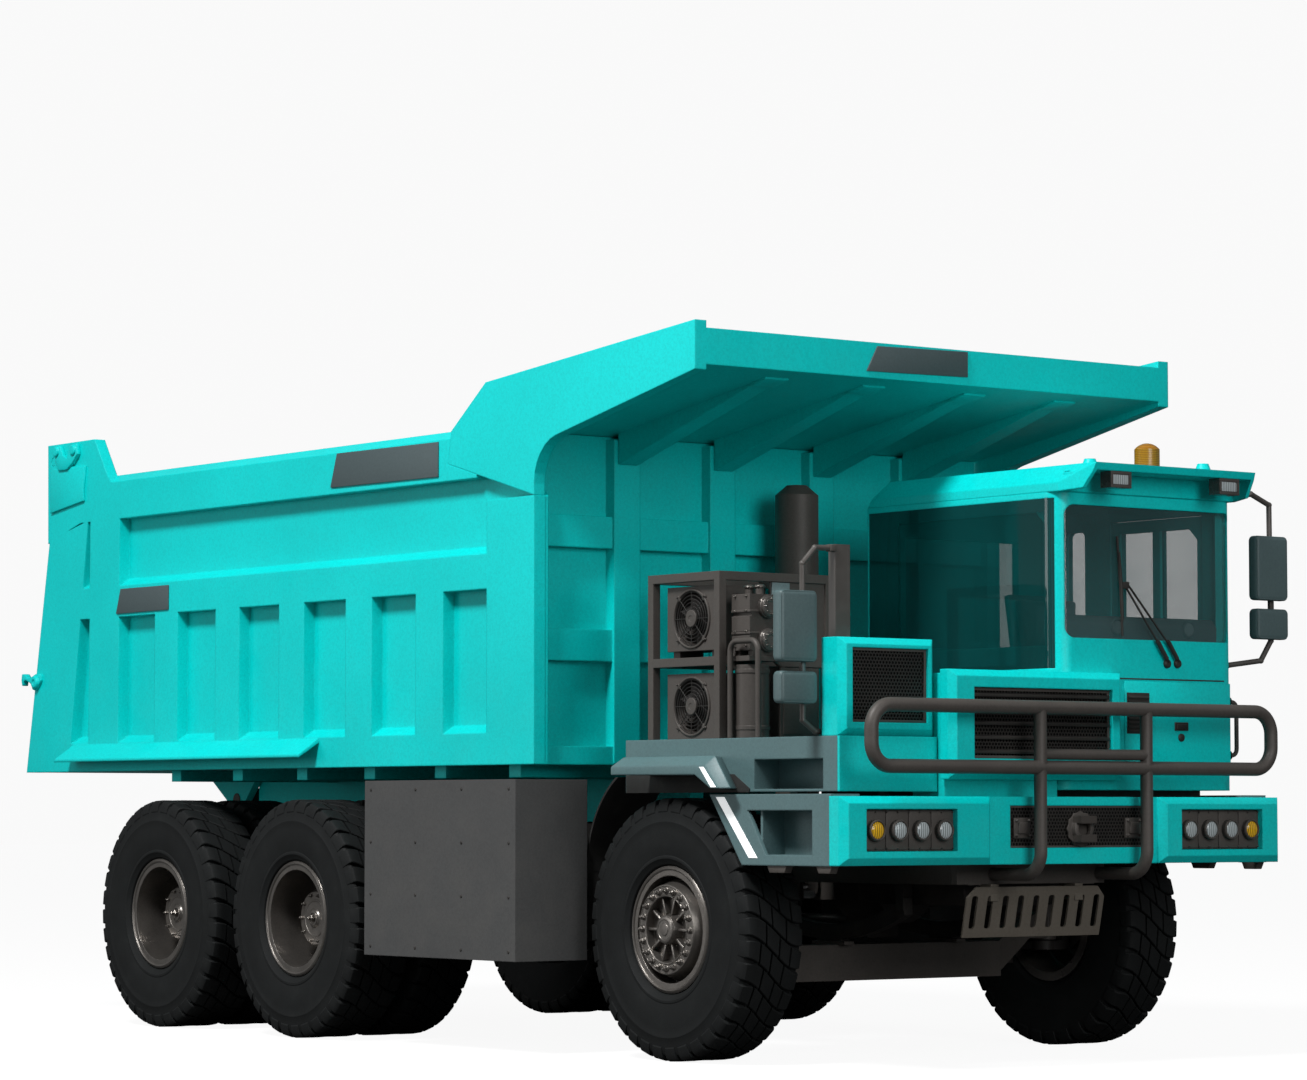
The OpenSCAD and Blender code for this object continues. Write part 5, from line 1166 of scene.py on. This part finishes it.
def addCabFront():
    face = cabFront["face"]
    panel = frontPlate(cabFront["panel"], face - 1, 0.007, 0.003)
    band = frontPlate(cabFront["seam"], face - 1, 0.004, 0.001)
    gusset = block(at(1417, 108, 3285), at(1500, 152, 3339), 0.006)
    addPiece("cabFrontPanel", "chassis", "tealEnamel", [panel, gusset])
    dark = [band]
    y0, y1, z0, z1 = cabFront["louvre"]
    dark.append(block(at(face, y0, z0), at(face + 9, y1, z1), 0.004))
    section = [(0, 0, 0), (0.010, 0, -0.004), (0.012, 0, 0.004), (0.002, 0, 0.016)]
    slat = softened(prism(section, (0, (y1 - y0 - 16) / 1000, 0)), 0.0015)
    pitch = (z1 - z0 - 20) / cabFront["slats"] / 1000
    flat = moved(slat, toFront.inverted())
    values = {"Columns": 1, "Rows": cabFront["slats"], "Across": 0.0, "Up": pitch, "Shift": 0.0}
    dark.append(grown("grid", "meshBlack", values, flat,
                      Matrix.Translation(at(face + 6, y0 + 8, z0 + 12)) @ toFront))
    y0, y1, z0, z1 = cabFront["latch"]
    dark.append(block(at(face + 4, y0, z0), at(face + 14, y1, z1), 0.005))
    dark.append(block(at(face + 12, y0 + 14, z0 + 10), at(face + 20, y1 - 14, z1 - 12), 0.004))
    dark.append(turnedAt([(0.024, 0), (0.023, 0.008), (0.016, 0.012), (0.0, 0.012)], 24,
                         at(face + 5, *cabFront["lock"]), (1, 0, 0)))
    addPiece("cabFrontFittings", "chassis", "meshBlack", dark)


def addWiper():
    x = cabFront["face"] + 16
    items = []
    for foot, top in zip(wiper["feet"], wiper["top"]):
        y, z = foot
        path = [at(x - 14, y, z), at(x + 6, y, z + 12), at(x + 10, y - 60, z + 80), at(x, *top)]
        items.append(tube(path, 0.0065, 8, 0.012))
        items.append(turnedAt([(0.026, 0), (0.025, 0.014), (0.018, 0.020), (0.0, 0.021)], 20,
                              at(x - 16, *foot), (1, 0, 0)))
        sleeve = (foot[0] - 20, foot[1] + 26), (foot[0] - 95, foot[1] + 130)
        items.append(tube([at(x + 8, *sleeve[0]), at(x + 9, *sleeve[1])], 0.0135, 8))
    (y0, z0), (y1, z1) = wiper["blade"]
    y, z = (y0 + y1) / 2, (z0 + z1) / 2
    items.append(tube([at(x - 11, y0, z0), at(x - 7, y, z), at(x - 11, y1, z1)], 0.007, 6))
    path = [at(x - 4, y0 + 8, z0 - 90), at(x + 2, y + 2, z), at(x - 4, y1 - 6, z1 + 90)]
    items.append(tube(path, 0.008, 6))
    items.append(block(at(x - 9, 560, 2690), at(x + 8, 612, 2730), 0.004))
    addPiece("wiper", "chassis", "meshBlack", items)


def addHandles():
    rail = tube([at(1330, 1488, 2056), at(1330, 1556, 2056), at(1330, 1556, 1742), at(1330, 1488, 1742)],
                0.013, 12, 0.045)
    feet = [turnedAt([(0.030, 0), (0.029, 0.006), (0.016, 0.009), (0.013, 0.012)], 20, at(1330, 1489, z),
                     (0, 1, 0)) for z in (2056, 1742)]
    addPiece("grabHandle", "chassis", "darkEnamel", [rail] + feet)
    path = [at(470, 1494, 2180), at(470, 1530, 2180), at(580, 1530, 2180), at(580, 1494, 2180)]
    pull = tube(path, 0.009, 10, 0.018)
    plate = block(at(450, 1491, 2150), at(600, 1496, 2210), 0.004)
    addPiece("doorPull", "cab_door", "meshBlack", [pull, plate])


addCabFront()
addWiper()
addHandles()
print("cab front dressed")

# rack: pale covers on its dark panel, compressor fittings and pipes
rackCovers = ((-1092, -962, 2540, 2722), (-872, -788, 2430, 2640), (-938, -904, 2590, 2640))
pumpParts = {"cylinders": (2380, 2570), "y": -1280, "face": 485, "bolts": 8,
             "knobs": ((320, -1300), (415, -1300))}


def addRackParts():
    covers = [block(at(257, y0, z0), at(266, y1, z1), 0.003) for y0, y1, z0, z1 in rackCovers]
    addPiece("rackCovers", "chassis", "paleCover", covers)
    bright, dark = [], []
    for z in pumpParts["cylinders"]:
        place = facing(at(pumpParts["face"], pumpParts["y"], z), (1, 0, 0))
        head = lathe([(0.062, -0.030), (0.066, -0.028), (0.066, -0.010), (0.060, -0.006), (0.060, 0.004),
                      (0.052, 0.010), (0.030, 0.011), (0.026, 0.007), (0.0, 0.007)], 40)
        bright.append(moved(head, place))
        bolt = moved(nut(0.0055), Matrix.Translation((0.042, 0, 0.0105)))
        bright.append(grown("ring", "rimSteel", {"Count": pumpParts["bolts"]}, bolt, place))
    for x, y in pumpParts["knobs"]:
        place = facing(at(x, y, 2678), (0, 0, 1))
        wheel = lathe([(0.0, 0.020), (0.014, 0.020), (0.026, 0.017), (0.032, 0.010), (0.032, 0.002),
                       (0.024, -0.002), (0.0, -0.002)], 12)
        bright.append(moved(wheel, place))
    for z in (2345, 2430, 2545, 2628):
        values = {"Columns": 2, "Rows": 1, "Across": 0.10, "Up": 0.0, "Shift": 0.0}
        place = Matrix.Translation(at(320, -1400, z)) @ Matrix.Rotation(math.radians(90), 4, "X")
        bright.append(grown("grid", "rimSteel", values, nut(0.0075), place))
    for z in (2412, 2536):
        dark.append(block(at(283, -1403, z), at(455, -1197, z + 14), 0.003))
    dark.append(tube([at(300, -1395, 2322), at(300, -1395, 2225), at(330, -1350, 2190),
                      at(372, -1330, 2150)], 0.011, 10, 0.03))
    dark.append(tube([at(430, -1215, 2322), at(430, -1215, 2270), at(400, -1150, 2240),
                      at(380, -1100, 2226)], 0.011, 10, 0.025))
    for z in (1870, 2190):
        dark.append(moved(lathe([(0.0945, 0), (0.099, 0.003), (0.099, 0.024), (0.0945, 0.027)], 48),
                          Matrix.Translation(at(380, -1326, z))))
    dark.append(block(at(448, -1160, 1850), at(455, -920, 2200), 0.003))
    dark.append(turnedAt([(0.017, 0), (0.016, 0.005), (0.006, 0.007), (0.0, 0.007)], 16,
                         at(455, -1000, 2080), (1, 0, 0)))
    addPiece("pumpBright", "chassis", "rimSteel", bright)
    addPiece("pumpFittings", "chassis", "darkEnamel", dark)


addRackParts()
print("rack dressed")

# bumper: brackets beside the tow jaw, its scalloped ring, and brackets under the steps
bumperParts = {"ring": 0.098, "lobes": 12, "brackets": (-330, 520)}


def addBumperParts():
    items = []
    outline = []
    for i in range(bumperParts["lobes"] * 4):
        turn = 2 * math.pi * i / (bumperParts["lobes"] * 4)
        reach = bumperParts["ring"] * (1 + 0.045 * math.cos(bumperParts["lobes"] * turn))
        outline.append(at(1528, 110, 1314) + Vector((0, reach * math.cos(turn), reach * math.sin(turn))))
    items.append(softened(prism(outline, (0.014, 0, 0)), 0.003))
    items.append(turnedAt([(0.070, 0), (0.070, 0.030), (0.060, 0.036), (0.046, 0.036), (0.042, 0.020)], 40,
                          at(1538, 110, 1314), (1, 0, 0)))
    for y in bumperParts["brackets"]:
        items.append(block(at(1520, y - 62, 1262), at(1540, y + 62, 1378), 0.008))
        items.append(block(at(1538, y - 34, 1288), at(1552, y + 34, 1352), 0.006))
        values = {"Columns": 2, "Rows": 2, "Across": 0.094, "Up": 0.084, "Shift": 0.0}
        items.append(grown("grid", "darkEnamel", values, nut(0.009),
                           Matrix.Translation(at(1540, y - 47, 1278)) @ toFront))
    hang = []
    for x0, x1 in ((900, 1075), (1325, 1465)):
        loop = [at(x0, -1640, 1118), at(x0 + 22, -1640, 1076), at(x1 - 22, -1640, 1076),
                at(x1, -1640, 1118)]
        bracket = softened(prism(loop, (0, 0.05, 0)), 0.004)
        hang += [bracket, mirrored(bracket)]
    addPiece("bumperFittings", "chassis", "darkEnamel", items + hang)


addBumperParts()
print("bumper dressed")

# cab inside: stuffed seat, dash with two round vents, steering wheel and a lever box
seat = {"mid": 1000, "floor": 1595, "pressure": 4.0, "cap": 0.016, "voxel": 0.006}
dash = {"profile": ((1071, 1596), (1259, 1596), (1259, 2289), (1328, 2380), (1330, 2490), (1290, 2540),
                    (1180, 2510), (1071, 2209)),
        "sides": (162, 1408), "vents": (603, 1174), "ventHigh": 2472}
steering = {"hub": (945, 1000, 2360), "tilt": -28, "ring": 0.220, "grip": 0.016}


def stuffed(name, shape):
    scene = bpy.context.scene
    pad = bpy.data.objects.new(name, meshFrom(shape, name))
    scene.collection.objects.link(pad)
    voxels = pad.modifiers.new("voxels", "REMESH")
    voxels.mode = "VOXEL"
    voxels.voxel_size = seat["voxel"]
    graph = bpy.context.evaluated_depsgraph_get()
    fine = bpy.data.meshes.new_from_object(pad.evaluated_get(graph), depsgraph=graph)
    pad.modifiers.remove(voxels)
    pad.data = fine
    start = [v.co.copy() for v in fine.vertices]
    cloth = pad.modifiers.new("stuffing", "CLOTH")
    cloth.settings.quality = 4
    cloth.settings.use_pressure = True
    cloth.settings.uniform_pressure_force = seat["pressure"]
    cloth.settings.effector_weights.gravity = 0
    for step in range(1, 21):
        scene.frame_set(step)
    graph = bpy.context.evaluated_depsgraph_get()
    swollen = [v.co.copy() for v in pad.evaluated_get(graph).data.vertices]
    pad.modifiers.remove(cloth)
    scene.frame_set(1)
    for vertex, old, new in zip(fine.vertices, start, swollen):
        shift = new - old
        reach = min(shift.length, seat["cap"])
        vertex.co = old + shift.normalized() * reach if shift.length > 0 else old
    for face in fine.polygons:
        face.use_smooth = True
    fine.materials.clear()
    fine.materials.append(finishes["seatCloth"])
    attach(pad, "chassis")
    return pad


def addSeat():
    mid, floor = seat["mid"], seat["floor"]
    base = [block(at(400, mid - 200, floor), at(740, mid + 200, floor + 60), 0.008),
            block(at(450, mid - 150, floor + 55), at(700, mid + 150, floor + 290), 0.020, 3),
            block(at(330, mid - 245, floor + 285), at(820, mid + 245, floor + 345), 0.014, 3)]
    back = [at(290, 0, floor + 340), at(330, 0, floor + 340), at(215, 0, floor + 1120),
            at(170, 0, floor + 1110)]
    shell = [Vector((p.x, (mid - 235) / 1000, p.z)) for p in back]
    base.append(softened(prism(shell, (0, 0.470, 0)), 0.012, 3))
    addPiece("seatFrame", "chassis", "cabTrim", base, ["cab_interior"])
    low = softened(prism([at(350, mid - 235, floor + 352), at(820, mid - 235, floor + 352),
                          at(835, mid - 235, floor + 400), at(800, mid - 235, floor + 438),
                          at(362, mid - 235, floor + 420)], (0, 0.470, 0)), 0.025, 3)
    high = softened(prism([at(352, mid - 230, floor + 455), at(410, mid - 230, floor + 470),
                           at(318, mid - 230, floor + 1095), at(232, mid - 230, floor + 1090)],
                          (0, 0.460, 0)), 0.025, 3)
    stuffed("seatCushion", low)
    stuffed("backCushion", high)


def addDash():
    y0, y1 = dash["sides"]
    loop = [at(x, y0, z) for x, z in dash["profile"]]
    items = [softened(prism(loop, (0, (y1 - y0) / 1000, 0)), 0.018, 3)]
    for y in dash["vents"]:
        place = facing(at(1329, y, dash["ventHigh"]), (1, 0, 0))
        items.append(moved(lathe([(0.052, -0.004), (0.052, 0.006), (0.046, 0.010), (0.040, 0.006),
                                  (0.038, -0.002), (0.0, -0.002)], 32), place))
    items.append(block(at(900, 640, 1596), at(1060, 760, 2080), 0.02, 3))
    addPiece("dash", "chassis", "cabTrim", items)
    caps = []
    for y in dash["vents"]:
        place = facing(at(1331, y, dash["ventHigh"]), (1, 0, 0))
        caps.append(moved(lathe([(0.038, -0.002), (0.037, 0.003), (0.020, 0.0045), (0.0, 0.005)], 28),
                          place))
    addPiece("dashVents", "chassis", "paleCover", caps)
    tilt = Matrix.Rotation(math.radians(steering["tilt"]), 4, "Y")
    turn = Matrix.Translation(at(*steering["hub"])) @ tilt
    ring, grip = steering["ring"], steering["grip"]
    angles = [step * math.pi / 5 for step in range(10)]
    section = [(ring + grip * math.cos(angle), grip * math.sin(angle)) for angle in angles]
    wheel = [moved(lathe(section, 48, closed=True), turn)]
    wheel.append(moved(lathe([(0.062, -0.016), (0.060, 0.008), (0.050, 0.016), (0.0, 0.018)], 32), turn))
    spoke = block((0.040, -0.015, -0.010), (0.215, 0.015, 0.006), 0.004)
    wheel.append(grown("ring", "cabTrim", {"Count": 3}, spoke, turn))
    wheel.append(tube([at(1085, 1000, 2150), at(952, 1000, 2348)], 0.030, 16))
    addPiece("steeringWheel", "chassis", "cabTrim", wheel)


addSeat()
addDash()
print("cab inside made")
